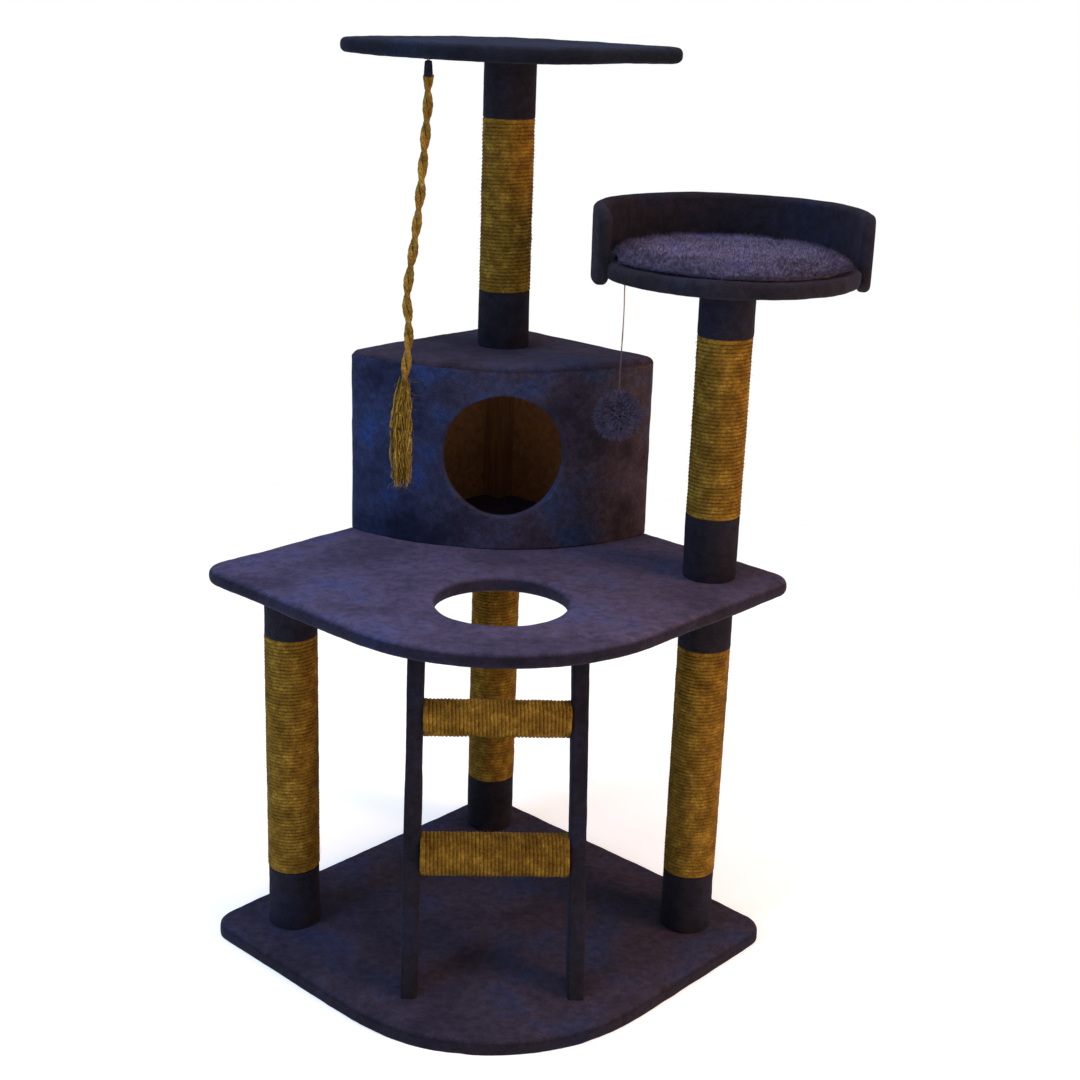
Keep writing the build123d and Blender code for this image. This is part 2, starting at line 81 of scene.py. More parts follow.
POST_HOLE_R = TUBE_R - 0.004  # hole in a skin, hidden under a post's foot
SISAL_D = 0.0052
HAIRS_PER_TURN = 22  # loose hairs on the sisal
CONDO_R, CONDO_CORNER_R = 0.325, 0.016
CONDO_SEAM_R = 0.306  # from the back corner, along each wall
DOOR_AT, DOOR_R = (0.002, 0.724), 0.09  # x and z
DOOR_LIP = 0.010  # how far the skin turns in through the doorway
BED_R, RIM_T = 0.172, 0.012
RIM_SWEEP = math.radians(208)
RIM_EASE = 0.023
BED_EASE = 0.007  # rounding of the bed's board and wall
PAD_START_R = 0.1625  # before the pad is blown up
PAD_HELD_R = 0.1685  # its most, against the wall
PAD_BULGE = 0.0085  # how much further it may reach at the free front
PAD_SPREAD = 0.050  # share by which the free front grows
PAD_HOLD_END = 0.12  # angle over which the wall's hold gives out, in radians
LADDER_X = 0.117
RAIL_WIDTH, RAIL_DEPTH, RAIL_CORNER_R = 0.024, 0.046, 0.005
LADDER_FOOT_Y, LADDER_HEAD_Y = -0.187, 0.015
RUNGS = {"lower": 1 / 3, "upper": 2 / 3}
ROPE_ROUTE = [
    (-0.112, 0.060, 1.256),
    (-0.112, 0.060, 1.205),
    (-0.117, 0.061, 1.146),
    (-0.122, 0.060, 1.084),
    (-0.130, 0.059, 1.020),
    (-0.139, 0.060, 0.962),
    (-0.133, 0.061, 0.912),
    (-0.138, 0.060, 0.866),
    (-0.142, 0.060, 0.822),
]
STRAND_R = 0.0037  # the rope is two of these
ROPE_PITCH = 0.078  # length of one full twist
TASSEL_HEAD = (-0.1402, 0.060, 0.850)  # the first strands come loose above the rope's end
TASSEL_FOOT = (-0.143, 0.060, 0.689)
SLEEVE_DROP = 0.0018  # from the perch to the sleeve, so that it stands clear of the staple
STRING_TOP = (0.157, 0.010)
STRING_R = 0.0009
STRING_IN_BALL = 0.020  # how far the string runs on into the ball
STRING_WORN = (0.90, 0.96)  # heights between which its cover turns from dark to worn
LOOP_THREAD_R = 0.0006
BALL_R = 0.033


# ---------------------------------------------------------------- camera, floor and light
CAMERA_AT = (-0.0499, -2.2192, 1.3666)
YAW, PITCH, ROLL = 0.0469, 0.3189, 0.0350  # to the right, down, and leaning, in radians
LENS = 55.42
LIT_POINT = (0.0, 0.0, 0.75)
LIGHTS = {  # place, width, watts and colour
    "window": ((-2.6, -1.9, 2.2), 1.8, 68, (0.36, 0.62, 1.0)),
    "lamp": ((2.7, -1.4, 1.5), 1.4, 76, (1.0, 0.54, 0.28)),
    "overhead": ((0.0, -0.3, 3.4), 2.2, 74, (0.95, 0.93, 1.0)),
}
BACKDROP_LIGHT = 0.30
FLOOR_HALF = 14.0


def add_camera():
    data = bpy.data.cameras.new("camera")
    data.lens = LENS
    camera = bpy.data.objects.new("camera", data)
    bpy.context.scene.collection.objects.link(camera)
    level = Matrix.Rotation(-YAW, 4, "Z") @ Matrix.Rotation(math.pi / 2 - PITCH, 4, "X")
    camera.matrix_world = Matrix.Translation(CAMERA_AT) @ level @ Matrix.Rotation(ROLL, 4, "Z")
    bpy.context.scene.camera = camera


def add_area_light(name, place, size, power, colour):
    data = bpy.data.lights.new(name, "AREA")
    data.shape = "DISK"
    data.size = size
    data.energy = power
    data.color = colour
    light = bpy.data.objects.new(name, data)
    bpy.context.scene.collection.objects.link(light)
    light.location = place
    light.rotation_mode = "QUATERNION"
    light.rotation_quaternion = (Vector(LIT_POINT) - Vector(place)).to_track_quat("-Z", "Y")


def add_studio():
    scene = bpy.context.scene
    scene.view_settings.view_transform = "Standard"
    scene.world = white_world(BACKDROP_LIGHT)
    for name, light in LIGHTS.items():
        add_area_light(name, *light)
    floor = new_mesh("floor", *plane(FLOOR_HALF), floor_material())


def white_world(strength):
    """A white backdrop that lights the tree more softly than it looks."""
    world = bpy.data.worlds.new("studio")
    world.use_nodes = True
    nodes, links = world.node_tree.nodes, world.node_tree.links
    soft = nodes["Background"]
    soft.inputs["Color"].default_value = (1, 1, 1, 1)
    soft.inputs["Strength"].default_value = strength
    seen = nodes.new("ShaderNodeBackground")
    seen.inputs["Color"].default_value = (1, 1, 1, 1)
    mix = nodes.new("ShaderNodeMixShader")
    links.new(nodes.new("ShaderNodeLightPath").outputs["Is Camera Ray"], mix.inputs[0])
    links.new(soft.outputs[0], mix.inputs[1])
    links.new(seen.outputs[0], mix.inputs[2])
    links.new(mix.outputs[0], nodes["World Output"].inputs["Surface"])
    return world


def plane(half):
    corners = [(-half, -half, 0), (half, -half, 0), (half, half, 0), (-half, half, 0)]
    return np.array(corners, float), [(0, 1, 2, 3)]


# ---------------------------------------------------------------- materials
class Shader:
    """A material and short calls that add nodes to it."""

    def __init__(self, name, **fixed):
        self.material = bpy.data.materials.new(name)
        self.material.use_nodes = True
        self.tree = self.material.node_tree
        self.surface = self.tree.nodes["Principled BSDF"]
        for socket, value in fixed.items():
            self.surface.inputs[socket.replace("_", " ")].default_value = value
        self.places = self.node("ShaderNodeTexCoord").outputs["Object"]

    def node(self, kind, **settings):
        made = self.tree.nodes.new(kind)
        for key, value in settings.items():
            setattr(made, key, value)
        return made

    def feed(self, node, **sources):
        for socket, source in sources.items():
            target = node.inputs[socket.replace("_", " ")]
            if isinstance(source, bpy.types.NodeSocket):
                self.tree.links.new(source, target)
            else:
                target.default_value = source
        return node

    def noise(self, scale, detail=2.0, rough=0.5, stretch=None):
        source = self.places
        if stretch:
            mapping = self.feed(self.node("ShaderNodeMapping"), Vector=source, Scale=stretch)
            source = mapping.outputs["Vector"]
        made = self.feed(
            self.node("ShaderNodeTexNoise"), Vector=source, Scale=scale, Detail=detail, Roughness=rough
        )
        return made.outputs["Fac"]

    def cells(self, scale):
        made = self.feed(self.node("ShaderNodeTexVoronoi"), Vector=self.places, Scale=scale)
        return made.outputs["Distance"]

    def ramp(self, source, *stops):
        made = self.feed(self.node("ShaderNodeValToRGB"), Fac=source)
        elements = made.color_ramp.elements
        while len(elements) < len(stops):
            elements.new(0.5)
        for element, (place, colour) in zip(elements, stops):
            element.position = place
            element.color = (*colour, 1)
        return made.outputs["Color"]

    def remap(self, value, low, high, to_low=0.0, to_high=1.0):
        made = self.feed(self.node("ShaderNodeMapRange"), Value=value, From_Min=low, From_Max=high)
        return self.feed(made, To_Min=to_low, To_Max=to_high).outputs["Result"]

    def axis(self, vector, name):
        return self.feed(self.node("ShaderNodeSeparateXYZ"), Vector=vector).outputs[name]

    def times(self, one, other):
        made = self.node("ShaderNodeMix", data_type="RGBA", blend_type="MULTIPLY")
        made.inputs[0].default_value = 1
        self.tree.links.new(one, made.inputs[6])
        self.tree.links.new(other, made.inputs[7])
        return made.outputs[2]

    def shade(self, colour, source, *stops):
        """Darkens or brightens a colour where the source says. A stop is (place, factor)."""
        return self.times(colour, self.ramp(source, *[(place, (grey,) * 3) for place, grey in stops]))

    def bump(self, height, distance, strength=1.0, under=None):
        made = self.node("ShaderNodeBump")
        self.feed(made, Height=height, Distance=distance, Strength=strength)
        if under:
            self.tree.links.new(under, made.inputs["Normal"])
        return made.outputs["Normal"]

    def finish(self, colour, normal=None, roughness=None):
        self.feed(self.surface, Base_Color=colour)
        if normal:
            self.feed(self.surface, Normal=normal)
        if roughness:
            self.feed(self.surface, Roughness=roughness)
        return self.material


def plush_material(name, colours, sheen, sheen_weight, patch=9.0, pile=950.0, side=1.0, painted_light=None):
    """Short pile: brushed patches, clumps of nap, single tufts, and a pale sheen at a low angle.

    colours are the deep, the raised and the cool tone of the patches.
    side is how much darker upright faces are made: painted shade, as light falls from above, with the
    pile lying combed down there.
    painted_light is (half width, tint on the left, tint on the right): painted light, cool from the
    window on the left and warm from the lamp on the right.
    """
    shader = Shader(name, Roughness=0.95, Sheen_Weight=sheen_weight, Sheen_Roughness=0.38)
    shader.feed(shader.surface, Sheen_Tint=(*sheen, 1), Specular_IOR_Level=0.12)
    brushed = shader.noise(patch, 3.0, 0.6)
    nap = shader.noise(patch * 9, 3.0, 0.65)
    tufts = shader.noise(pile, 1.0)
    colour = shader.ramp(brushed, *zip((0.34, 0.52, 0.68), colours))
    colour = shader.shade(colour, nap, (0.3, 0.66), (0.7, 1.28))
    colour = shader.shade(colour, tufts, (0.32, 0.55), (0.68, 1.3))
    # Painted light: the colour is tinted cool on the left and warm on the right, as the window and the
    # lamp light it.
    if painted_light:
        half, left, right = painted_light
        across = shader.remap(shader.axis(shader.places, "X"), -half, half)
        colour = shader.times(colour, shader.ramp(across, (0.1, left), (0.9, right)))
    # Painted shade: upright faces are darkened, partly for the pile combed down on them and partly for
    # light that falls from above.
    if side < 1:
        facing = shader.axis(shader.node("ShaderNodeTexCoord").outputs["Normal"], "Z")
        colour = shader.shade(colour, facing, (0.45, side), (0.92, 1.0))
    normal = shader.bump(nap, 0.0035, 0.55)
    normal = shader.bump(tufts, 0.0016, 0.8, normal)
    return shader.finish(colour, normal)


def pile_material(name):
    """Long soft pile. V runs from a hair's root, 0, to its tip, 1."""
    shader = Shader(name, Roughness=0.8, Sheen_Weight=0.35, Sheen_Roughness=0.3)
    shader.feed(shader.surface, Sheen_Tint=(0.5, 0.48, 0.9, 1), Specular_IOR_Level=0.2)
    along = shader.node("ShaderNodeUVMap", uv_map="along").outputs["UV"]
    # Painted shade and sheen: the roots are dark for the shade deep in the pile, and the tips pale for
    # the sheen on its outside.
    root, tip = (0.006, 0.005, 0.009), (0.125, 0.108, 0.190)
    colour = shader.ramp(shader.axis(along, "Y"), (0.45, root), (1.0, tip))
    return shader.finish(shader.shade(colour, shader.noise(70.0, 3.0), (0.3, 0.55), (0.7, 1.35)))


def sisal_material(name, dark, middle, bright):
    """Coarse twisted fibre. U runs along the wound rope in metres and V once round it."""
    shader = Shader(name, Roughness=0.86, Sheen_Weight=0.02, Sheen_Roughness=0.5)
    shader.feed(shader.surface, Sheen_Tint=(0.9, 0.75, 0.4, 1), Specular_IOR_Level=0.05)
    patches = shader.noise(46.0, 4.0, 0.75)
    shreds = shader.noise(330.0, 3.0, 0.7)
    colour = shader.ramp(patches, (0.30, dark), (0.5, middle), (0.70, bright))
    colour = shader.shade(colour, shreds, (0.3, 0.5), (0.7, 1.35))
    uv = shader.node("ShaderNodeUVMap", uv_map="along").outputs["UV"]
    turn = shader.feed(shader.node("ShaderNodeMapping"), Vector=uv, Scale=(170.0, 3.0, 1.0))
    wave = shader.node("ShaderNodeTexWave", wave_type="BANDS", bands_direction="DIAGONAL")
    shader.feed(wave, Vector=turn.outputs["Vector"], Scale=0.32, Distortion=1.6, Detail=2.0)
    twist = wave.outputs["Fac"]
    hair = shader.feed(shader.node("ShaderNodeMapping"), Vector=uv, Scale=(120.0, 9.0, 1.0))
    strands = shader.feed(
        shader.node("ShaderNodeTexNoise"), Vector=hair.outputs["Vector"], Scale=2.0, Detail=3.0
    )
    normal = shader.bump(twist, 0.0012, 0.6)
    normal = shader.bump(strands.outputs["Fac"], 0.0009, 0.7, normal)
    normal = shader.bump(shreds, 0.0012, 0.5, normal)
    return shader.finish(colour, normal)


def wood_material(name, dark, light, stretch, scale, fleck):
    """Bare wood or particle board: drawn-out grain with darker flecks."""
    shader = Shader(name, Roughness=0.62, Specular_IOR_Level=0.35)
    grain = shader.noise(scale, 5.0, 0.65, stretch)
    flecks = shader.cells(fleck)
    colour = shader.ramp(grain, (0.35, dark), (0.65, light))
    colour = shader.shade(colour, flecks, (0.1, 0.78), (0.55, 1.08))
    normal = shader.bump(grain, 0.0008, 0.4)
    return shader.finish(colour, normal, shader.remap(grain, 0.3, 0.7, 0.7, 0.5))


def tube_material(name):
    """Spiral-wound paper tube: a fibrous buff sheet with faint plies."""
    shader = Shader(name, Roughness=0.9)
    fibre = shader.noise(420.0, 3.0, 0.6, (1.0, 1.0, 0.2))
    colour = shader.ramp(fibre, (0.3, (0.30, 0.21, 0.12)), (0.7, (0.44, 0.33, 0.20)))
    return shader.finish(colour, shader.bump(fibre, 0.0004, 0.5))


def zinc_material(name):
    """Zinc plate: pale grey with a spangle and uneven gloss."""
    shader = Shader(name, Metallic=1.0)
    spangle = shader.noise(240.0, 2.0)
    colour = shader.ramp(spangle, (0.3, (0.48, 0.49, 0.50)), (0.7, (0.66, 0.66, 0.64)))
    gloss = shader.remap(spangle, 0.3, 0.7, 0.28, 0.46)
    return shader.finish(colour, shader.bump(spangle, 0.0002, 0.3), gloss)


def string_material(name):
    """Covered elastic: worn pale near the top, dark below, with the cover's fine ribs."""
    shader = Shader(name, Roughness=0.7, Sheen_Weight=0.2, Sheen_Roughness=0.5)
    up = shader.remap(shader.axis(shader.places, "Z"), *STRING_WORN)
    worn = shader.ramp(up, (0.0, (0.030, 0.024, 0.032)), (1.0, (0.36, 0.20, 0.15)))
    ribs = shader.noise(1400.0, 1.0, 0.5, (0.2, 0.2, 1.0))
    colour = shader.shade(worn, ribs, (0.3, 0.7), (0.7, 1.2))
    return shader.finish(colour, shader.bump(ribs, 0.0003, 0.6))


def floor_material():
    """Pale floor under the tree that turns into the white backdrop further out."""
    shader = Shader("studio_floor", Roughness=0.8, Specular_IOR_Level=0.0, Emission_Strength=1.0)
    away = shader.node("ShaderNodeVectorMath", operation="LENGTH")
    shader.tree.links.new(shader.places, away.inputs[0])
    share = shader.remap(away.outputs["Value"], 0.5, 2.6)
    glow = shader.ramp(share, (0.0, (0.42,) * 3), (1.0, (1.0,) * 3))
    shader.feed(shader.surface, Emission_Color=glow)
    return shader.finish(shader.ramp(share, (0.0, (0.86,) * 3), (1.0, (0.0,) * 3)))


# ---------------------------------------------------------------- meshes
def new_mesh(name, points, faces, material, along=None):
    """A smooth object whose faces look outward. along gives each point's UV."""
    points = np.asarray(points, float).reshape(-1, 3)
    if enclosed_volume(points, faces) < 0:
        faces = [tuple(face)[::-1] for face in faces]
    mesh = bpy.data.meshes.new(name)
    mesh.from_pydata(points.tolist(), [], [tuple(face) for face in faces])
    mesh.polygons.foreach_set("use_smooth", np.ones(len(mesh.polygons), bool))
    mesh.materials.append(material)
    if along is not None:
        corners = np.zeros(len(mesh.loops), int)
        mesh.loops.foreach_get("vertex_index", corners)
        layer = mesh.uv_layers.new(name="along")
        layer.data.foreach_set("uv", np.asarray(along, float).reshape(-1, 2)[corners].ravel())
    made = bpy.data.objects.new(name, mesh)
    bpy.context.scene.collection.objects.link(made)
    return made


def enclosed_volume(points, faces):
    quads = np.array([face for face in faces if len(face) == 4], int)
    if not len(quads):
        return 1.0
    a, b, c, d = (points[quads[:, corner]] for corner in range(4))
    return float(np.sum(np.cross(a, b) * c) + np.sum(np.cross(a, c) * d))


def grid_faces(rows, columns, wrap_rows):
    """Quads between rows of points. Each row is a ring, and wrap_rows joins the last to the first."""
    index = np.arange(rows * columns).reshape(rows, columns)
    if wrap_rows:
        index = np.vstack([index, index[:1]])
    index = np.hstack([index, index[:, :1]])
    corners = [index[:-1, :-1], index[:-1, 1:], index[1:, 1:], index[1:, :-1]]
    return np.stack(corners, axis=-1).reshape(-1, 4).tolist()


def capped_faces(rows, columns):
    """Quads between rows of points, and one face over each end."""
    last = (rows - 1) * columns
    caps = [tuple(range(columns)), tuple(range(last + columns - 1, last - 1, -1))]
    return grid_faces(rows, columns, False) + caps


def unit(vectors):
    return vectors / np.linalg.norm(vectors, axis=1, keepdims=True)


def distances(line):
    """How far along a line each of its points is."""
    return np.concatenate([[0], np.cumsum(np.linalg.norm(np.diff(line, axis=0), axis=1))])


def read_vertices(made, kind="co"):
    """A mesh's places, or its normals, as rows of three."""
    values = np.zeros(len(made.data.vertices) * 3)
    made.data.vertices.foreach_get(kind, values)
    return values.reshape(-1, 3)


def move_vertices(made, places):
    made.data.vertices.foreach_set("co", places.ravel())
    made.data.update()


def soft_noise(points, size, seed):
    """Smooth random values from -1 to 1, that change over about that size."""
    table = np.random.default_rng(seed).uniform(-1, 1, (32, 32, 32))
    cell = points / size + 500.0
    low = np.floor(cell).astype(int)
    share = cell - low
    share = share * share * (3 - 2 * share)
    total = np.zeros(len(points))
    for corner in np.ndindex(2, 2, 2):
        weight = np.prod(np.where(corner, share, 1 - share), axis=1)
        index = (low + corner) % 32
        total += weight * table[index[:, 0], index[:, 1], index[:, 2]]
    return total


def ruffle(made, *layers):
    """Pushes a mesh in and out along its normals, by each (size, depth, seed) in turn."""
    places = read_vertices(made)
    push = sum(depth * soft_noise(places, size, seed) for size, depth, seed in layers)
    move_vertices(made, places + read_vertices(made, "normal") * push[:, None])
    return made


# ---------------------------------------------------------------- outlines
def outline(arcs, spacing):
    """Points and outward normals round arcs (x, y, radius, start, stop) joined by straight lines."""
    points, normals = [], []
    for index, (x, y, radius, start, stop) in enumerate(arcs):
        angles = np.linspace(start, stop, max(3, math.ceil(radius * (stop - start) / spacing)) + 1)
        out = np.stack([np.cos(angles), np.sin(angles)], axis=1)
        here = np.array((x, y)) + radius * out
        next_x, next_y, next_radius, next_start, _ = arcs[(index + 1) % len(arcs)]
        ahead = np.array((next_x, next_y))
        ahead = ahead + next_radius * np.array((math.cos(next_start), math.sin(next_start)))
        gap = np.linalg.norm(ahead - here[-1])
        steps = max(1, round(gap / spacing))
        share = np.linspace(0, 1, steps + 1)[1:-1, None]
        if gap < spacing / 10:
            here, out = here[:-1], out[:-1]
        points.append(here)
        normals.append(out)
        if steps > 1:
            points.append(here[-1] + share * (ahead - here[-1]))
            normals.append(np.repeat(out[-1:], steps - 1, axis=0))
    return np.concatenate(points), np.concatenate(normals)


def quarter(turn):
    return turn * math.pi / 4


def platform_arcs(side, front_r, corner_r, centre_y):
    """A square on its diagonal, with a swept front corner."""
    reach = side / math.sqrt(2)
    pull = math.sqrt(2)
    return [
        (reach - pull * corner_r, centre_y, corner_r, quarter(-1), quarter(1)),
        (0, centre_y + reach - pull * BACK_R, BACK_R, quarter(1), quarter(3)),
        (-reach + pull * corner_r, centre_y, corner_r, quarter(3), quarter(5)),
        (0, centre_y - reach + pull * front_r, front_r, quarter(5), quarter(7)),
    ]


def condo_arcs():
    """Two back walls and a curved front about the back corner, from the middle of the front."""
    lean = math.asin(CONDO_CORNER_R / (CONDO_R - CONDO_CORNER_R))
    turn = quarter(7) - lean
    reach = CONDO_R - CONDO_CORNER_R
    corner_x, corner_y = reach * math.cos(turn), BACK_Y + reach * math.sin(turn)
    return [
        (0, BACK_Y, CONDO_R, quarter(6), turn),
        (corner_x, corner_y, CONDO_CORNER_R, turn, quarter(9)),
        (0, BACK_Y - math.sqrt(2) * BACK_R, BACK_R, quarter(9), quarter(11)),
        (-corner_x, corner_y, CONDO_CORNER_R, quarter(11), quarter(20) - turn),
        (0, BACK_Y, CONDO_R, quarter(20) - turn, quarter(14)),
    ]


def rounded_box_arcs(width, depth, radius, x=0.0, y=0.0):
    across, along = width / 2 - radius, depth / 2 - radius
    signs = [(1, -1), (1, 1), (-1, 1), (-1, -1)]
    return [
        (x + sign_x * across, y + sign_y * along, radius, quarter(2 * turn), quarter(2 * turn + 2))
        for turn, (sign_x, sign_y) in zip((-1, 0, 1, 2), signs)
    ]


def circle_arcs(x, y, radius):
    return [(x, y, radius, 0, quarter(8))]


# ---------------------------------------------------------------- slabs
# A profile is a list of (share, inset, retreat, height). share goes from the core, 0, to the
# outline, 1. inset draws the outline in, and retreat draws the core back from its own edge.
def sheet_steps(height, inset, retreat, steps, outward):
    shares = np.linspace(0, 1, steps + 1)
    if not outward:
        shares = shares[::-1]
    return [(share, inset, retreat, height) for share in shares]


def rounding(ease, height, way, share, steps=5):
    """A quarter round at the outline (share 1) or the core (share 0), from level to upright."""
    made = []
    for turn in np.linspace(0, math.pi / 2, steps + 1):
        back = ease * (1 - math.sin(turn))
        drop = way * ease * (1 - math.cos(turn))
        made.append((share, back if share else 0, 0 if share else back, height - drop))
    return made


def upright(share, start, stop, steps):
    return [(share, 0, 0, height) for height in np.linspace(start, stop, steps + 1)[1:-1]]


def solid_profile(low, high, ease, steps, sides=4, cored=False):
    """Round the outside of a slab, and through its core if it has one."""
    edge = rounding(ease, high, 1, 1) + upright(1, high - ease, low + ease, sides)
    edge += rounding(ease, low, -1, 1)[::-1]
    made = sheet_steps(high, ease, ease if cored else 0, steps, True)[:-1] + edge
    made += sheet_steps(low, ease, ease if cored else 0, steps, False)[1:]
    if cored:
        made = made[:-1] + rounding(ease, low, -1, 0)
        made += upright(0, low + ease, high - ease, sides)
        made += rounding(ease, high, 1, 0)[::-1][:-1]
    return made


def shell_profile(low, high, ease, steps, hem=0.0):
    """A skin over the top and sides of a board, open below, with an optional hem turned under."""
    made = sheet_steps(high, ease, 0, steps, True)[:-1] + rounding(ease, high, 1, 1)
    made += upright(1, high - ease, low, 4)
    if hem:
        made += [(1, 0.0004, 0, low + 0.0006), (1, 0.0015, 0, low), (1, hem, 0, low)]
        made += [(1, hem, 0, low + HEM_T), (1, SKIN, 0, low + HEM_T)]
    else:
        made += [(1, 0, 0, low), (1, SKIN, 0, low)]
    return made + lining(high, ease)


def lining(high, ease):
    """The inside of an open skin, from its foot up and in to the core."""
    return [(1, SKIN, 0, high - ease), (1, ease, 0, high - SKIN), (0, ease, 0, high - SKIN)]


def loops_between(edge, normals, core, core_out, profile):
    rows = []
    for share, inset, retreat, height in profile:
        outer = edge - inset * normals
        inner = core + retreat * core_out
        flat = inner + share * (outer - inner)
        rows.append(np.column_stack([flat, np.full(len(flat), height)]))
    return np.array(rows)


def round_core(edge, x, y, radius):
    """The core as a circle, with the same bearings as the outline's points."""
    out = unit(edge - np.array((x, y)))
    return np.array((x, y)) + radius * out, out


def line_core(low, high, height):
    """The core as a level line from low to high."""

    def core(edge):
        along = np.clip(edge[:, 0], low, high)
        return np.column_stack([along, np.full(len(edge), height)]), edge * 0

    return core


def slab(name, arcs, core, profile, material, spacing=0.004, place=None):
    """core is (x, y, radius), or a function of the outline. One with no width is sewn shut."""
    edge, normals = outline(arcs, spacing)
    sewn = callable(core) or core[2] == 0
    inner, inner_out = core(edge) if callable(core) else round_core(edge, *core)
    loops = loops_between(edge, normals, inner, inner_out, profile)
    points = loops.reshape(-1, 3)
    if place:
        points = place(points)
    made = new_mesh(name, points, grid_faces(*loops.shape[:2], not sewn), material)
    if sewn:
        merge_doubles(made)
    return made


def merge_doubles(made):
    mesh = bmesh.new()
    mesh.from_mesh(made.data)
    bmesh.ops.remove_doubles(mesh, verts=mesh.verts, dist=0.00002)
    bmesh.ops.dissolve_degenerate(mesh, edges=mesh.edges, dist=0.00001)
    bmesh.ops.recalc_face_normals(mesh, faces=mesh.faces)
    mesh.to_mesh(made.data)
    mesh.free()


# ---------------------------------------------------------------- round pieces along a line
def tube(centres, radii, sides=8, squeeze=1.0, up=(0, 0, 1)):
    """A closed tube along a line of points, with UVs: U along it in metres, V once round."""
    centres = np.asarray(centres, float)
    way = unit(np.gradient(centres, axis=0))
    across = unit(np.cross(way, np.asarray(up, float)))
    over = np.cross(across, way)
    turn = np.linspace(0, 2 * math.pi, sides, endpoint=False)
    radii = np.broadcast_to(radii, len(centres))[:, None, None]
    ring = np.cos(turn)[None, :, None] * across[:, None] * squeeze
    ring = ring + np.sin(turn)[None, :, None] * over[:, None]
    points = centres[:, None] + radii * ring
    lengths = distances(centres)
    uv = np.stack(np.broadcast_arrays(lengths[:, None], turn[None] / (2 * math.pi)), axis=-1)
    return points.reshape(-1, 3), capped_faces(len(centres), sides), uv.reshape(-1, 2)


def join(parts):
    """Several (points, faces, uv) as one."""
    points, faces, uvs = [], [], []
    base = 0
    for part_points, part_faces, part_uv in parts:
        points.append(part_points)
        faces += [tuple(base + corner for corner in face) for face in part_faces]
        uvs.append(part_uv)
        base += len(part_points)
    return np.concatenate(points), faces, np.concatenate(uvs)


def fibres(roots, ways, lengths, bends, thick, steps=3):
    """Thin tapered hairs: each leaves its root along its way, and bends over."""
    count = len(roots)
    share = np.linspace(0, 1, steps + 1)[None, :, None]
    reach = np.asarray(lengths)[:, None, None]
    lines = roots[:, None] + reach * (share * ways[:, None] + share**2 * bends[:, None])
    side = unit(np.cross(ways, np.array((0.31, 0.52, 0.79))))
    other = np.cross(ways, side)
    turn = np.arange(3) * 2 * math.pi / 3
    ring = np.cos(turn)[None, :, None] * side[:, None] + np.sin(turn)[None, :, None] * other[:, None]
    taper = np.asarray(thick) * (1 - 0.75 * share[0, :, 0])
    points = lines[:, :, None] + taper[None, :, None, None] * ring[:, None]
    start = np.arange(count)[:, None, None] * (steps + 1) * 3
    row = np.arange(steps)[None, :, None] * 3
    corner = np.arange(3)[None, None]
    after = (corner + 1) % 3
    quads = np.stack([start + row + corner, start + row + after], axis=-1)
    quads = np.concatenate([quads, quads[..., ::-1] + 3], axis=-1).reshape(-1, 4)
    ends = np.concatenate([start[:, 0] + [0, 1, 2], start[:, 0] + steps * 3 + [2, 1, 0]])
    uv = np.zeros((count, steps + 1, 3, 2))
    uv[..., 1] = share
    faces = [tuple(face) for face in quads.tolist() + ends.tolist()]
    return points.reshape(-1, 3), faces, uv.reshape(-1, 2)


def any_way(random, count):
    return unit(random.normal(size=(count, 3)))


# ---------------------------------------------------------------- materials by slot
VIOLET = (0.48, 0.42, 0.75)
BLUE = (0.36, 0.42, 0.85)
# Painted light across the boards and the condo, as (half width, tint on the left, tint on the right):
# cool window light on the left, warm lamp light on the right.
BOARD_PAINTED_LIGHT = (0.30, (0.90, 1.0, 1.16), (1.14, 1.0, 0.90))
CONDO_PAINTED_LIGHT = (0.20, (0.72, 0.92, 1.18), (1.55, 1.02, 0.66))
# The middle platform, the roof, the perch and the base wear one plush, in lit and shaded copies: the
# roof, the base under the middle platform and the perch are darker by painted shade.
MIDDLE = plush_material(
    "plush_middle_lit",
    ((0.034, 0.030, 0.060), (0.060, 0.050, 0.096), (0.046, 0.054, 0.135)),
    VIOLET, 0.10, side=0.26, painted_light=BOARD_PAINTED_LIGHT,
)
ROOF = plush_material(
    "plush_roof_painted_shade",
    ((0.028, 0.023, 0.042), (0.046, 0.037, 0.062), (0.036, 0.042, 0.095)),
    VIOLET, 0.10, side=0.6,
)
PERCH_PAINTED_SHADE = plush_material(
    "plush_perch_painted_shade",
    ((0.008, 0.010, 0.022), (0.012, 0.015, 0.030), (0.011, 0.020, 0.046)),
    BLUE, 0.05, side=0.5,
)
BASE_PAINTED_SHADE = plush_material(
    "plush_base_painted_shade",
    ((0.024, 0.020, 0.036), (0.038, 0.031, 0.052), (0.024, 0.031, 0.078)),
    VIOLET, 0.08, side=0.36, painted_light=BOARD_PAINTED_LIGHT,
)
CONDO = plush_material(
    "condo_plush",
    ((0.011, 0.012, 0.028), (0.029, 0.031, 0.066), (0.021, 0.040, 0.120)),
    BLUE, 0.09, 12.0, painted_light=CONDO_PAINTED_LIGHT,
)
DARK = plush_material(
    "dark_plush",
    ((0.009, 0.008, 0.013), (0.014, 0.012, 0.019), (0.013, 0.014, 0.030)),
    VIOLET, 0.05,
)
PAD = plush_material(
    "pad_plush",
    ((0.050, 0.044, 0.080), (0.090, 0.078, 0.135), (0.070, 0.066, 0.170)),
    VIOLET, 0.20, 16, 700, 0.72,
)
SISAL = sisal_material("sisal", (0.100, 0.050, 0.006), (0.185, 0.098, 0.012), (0.34, 0.200, 0.028))
ROPE = sisal_material("rope", (0.110, 0.056, 0.008), (0.21, 0.120, 0.020), (0.36, 0.22, 0.045))
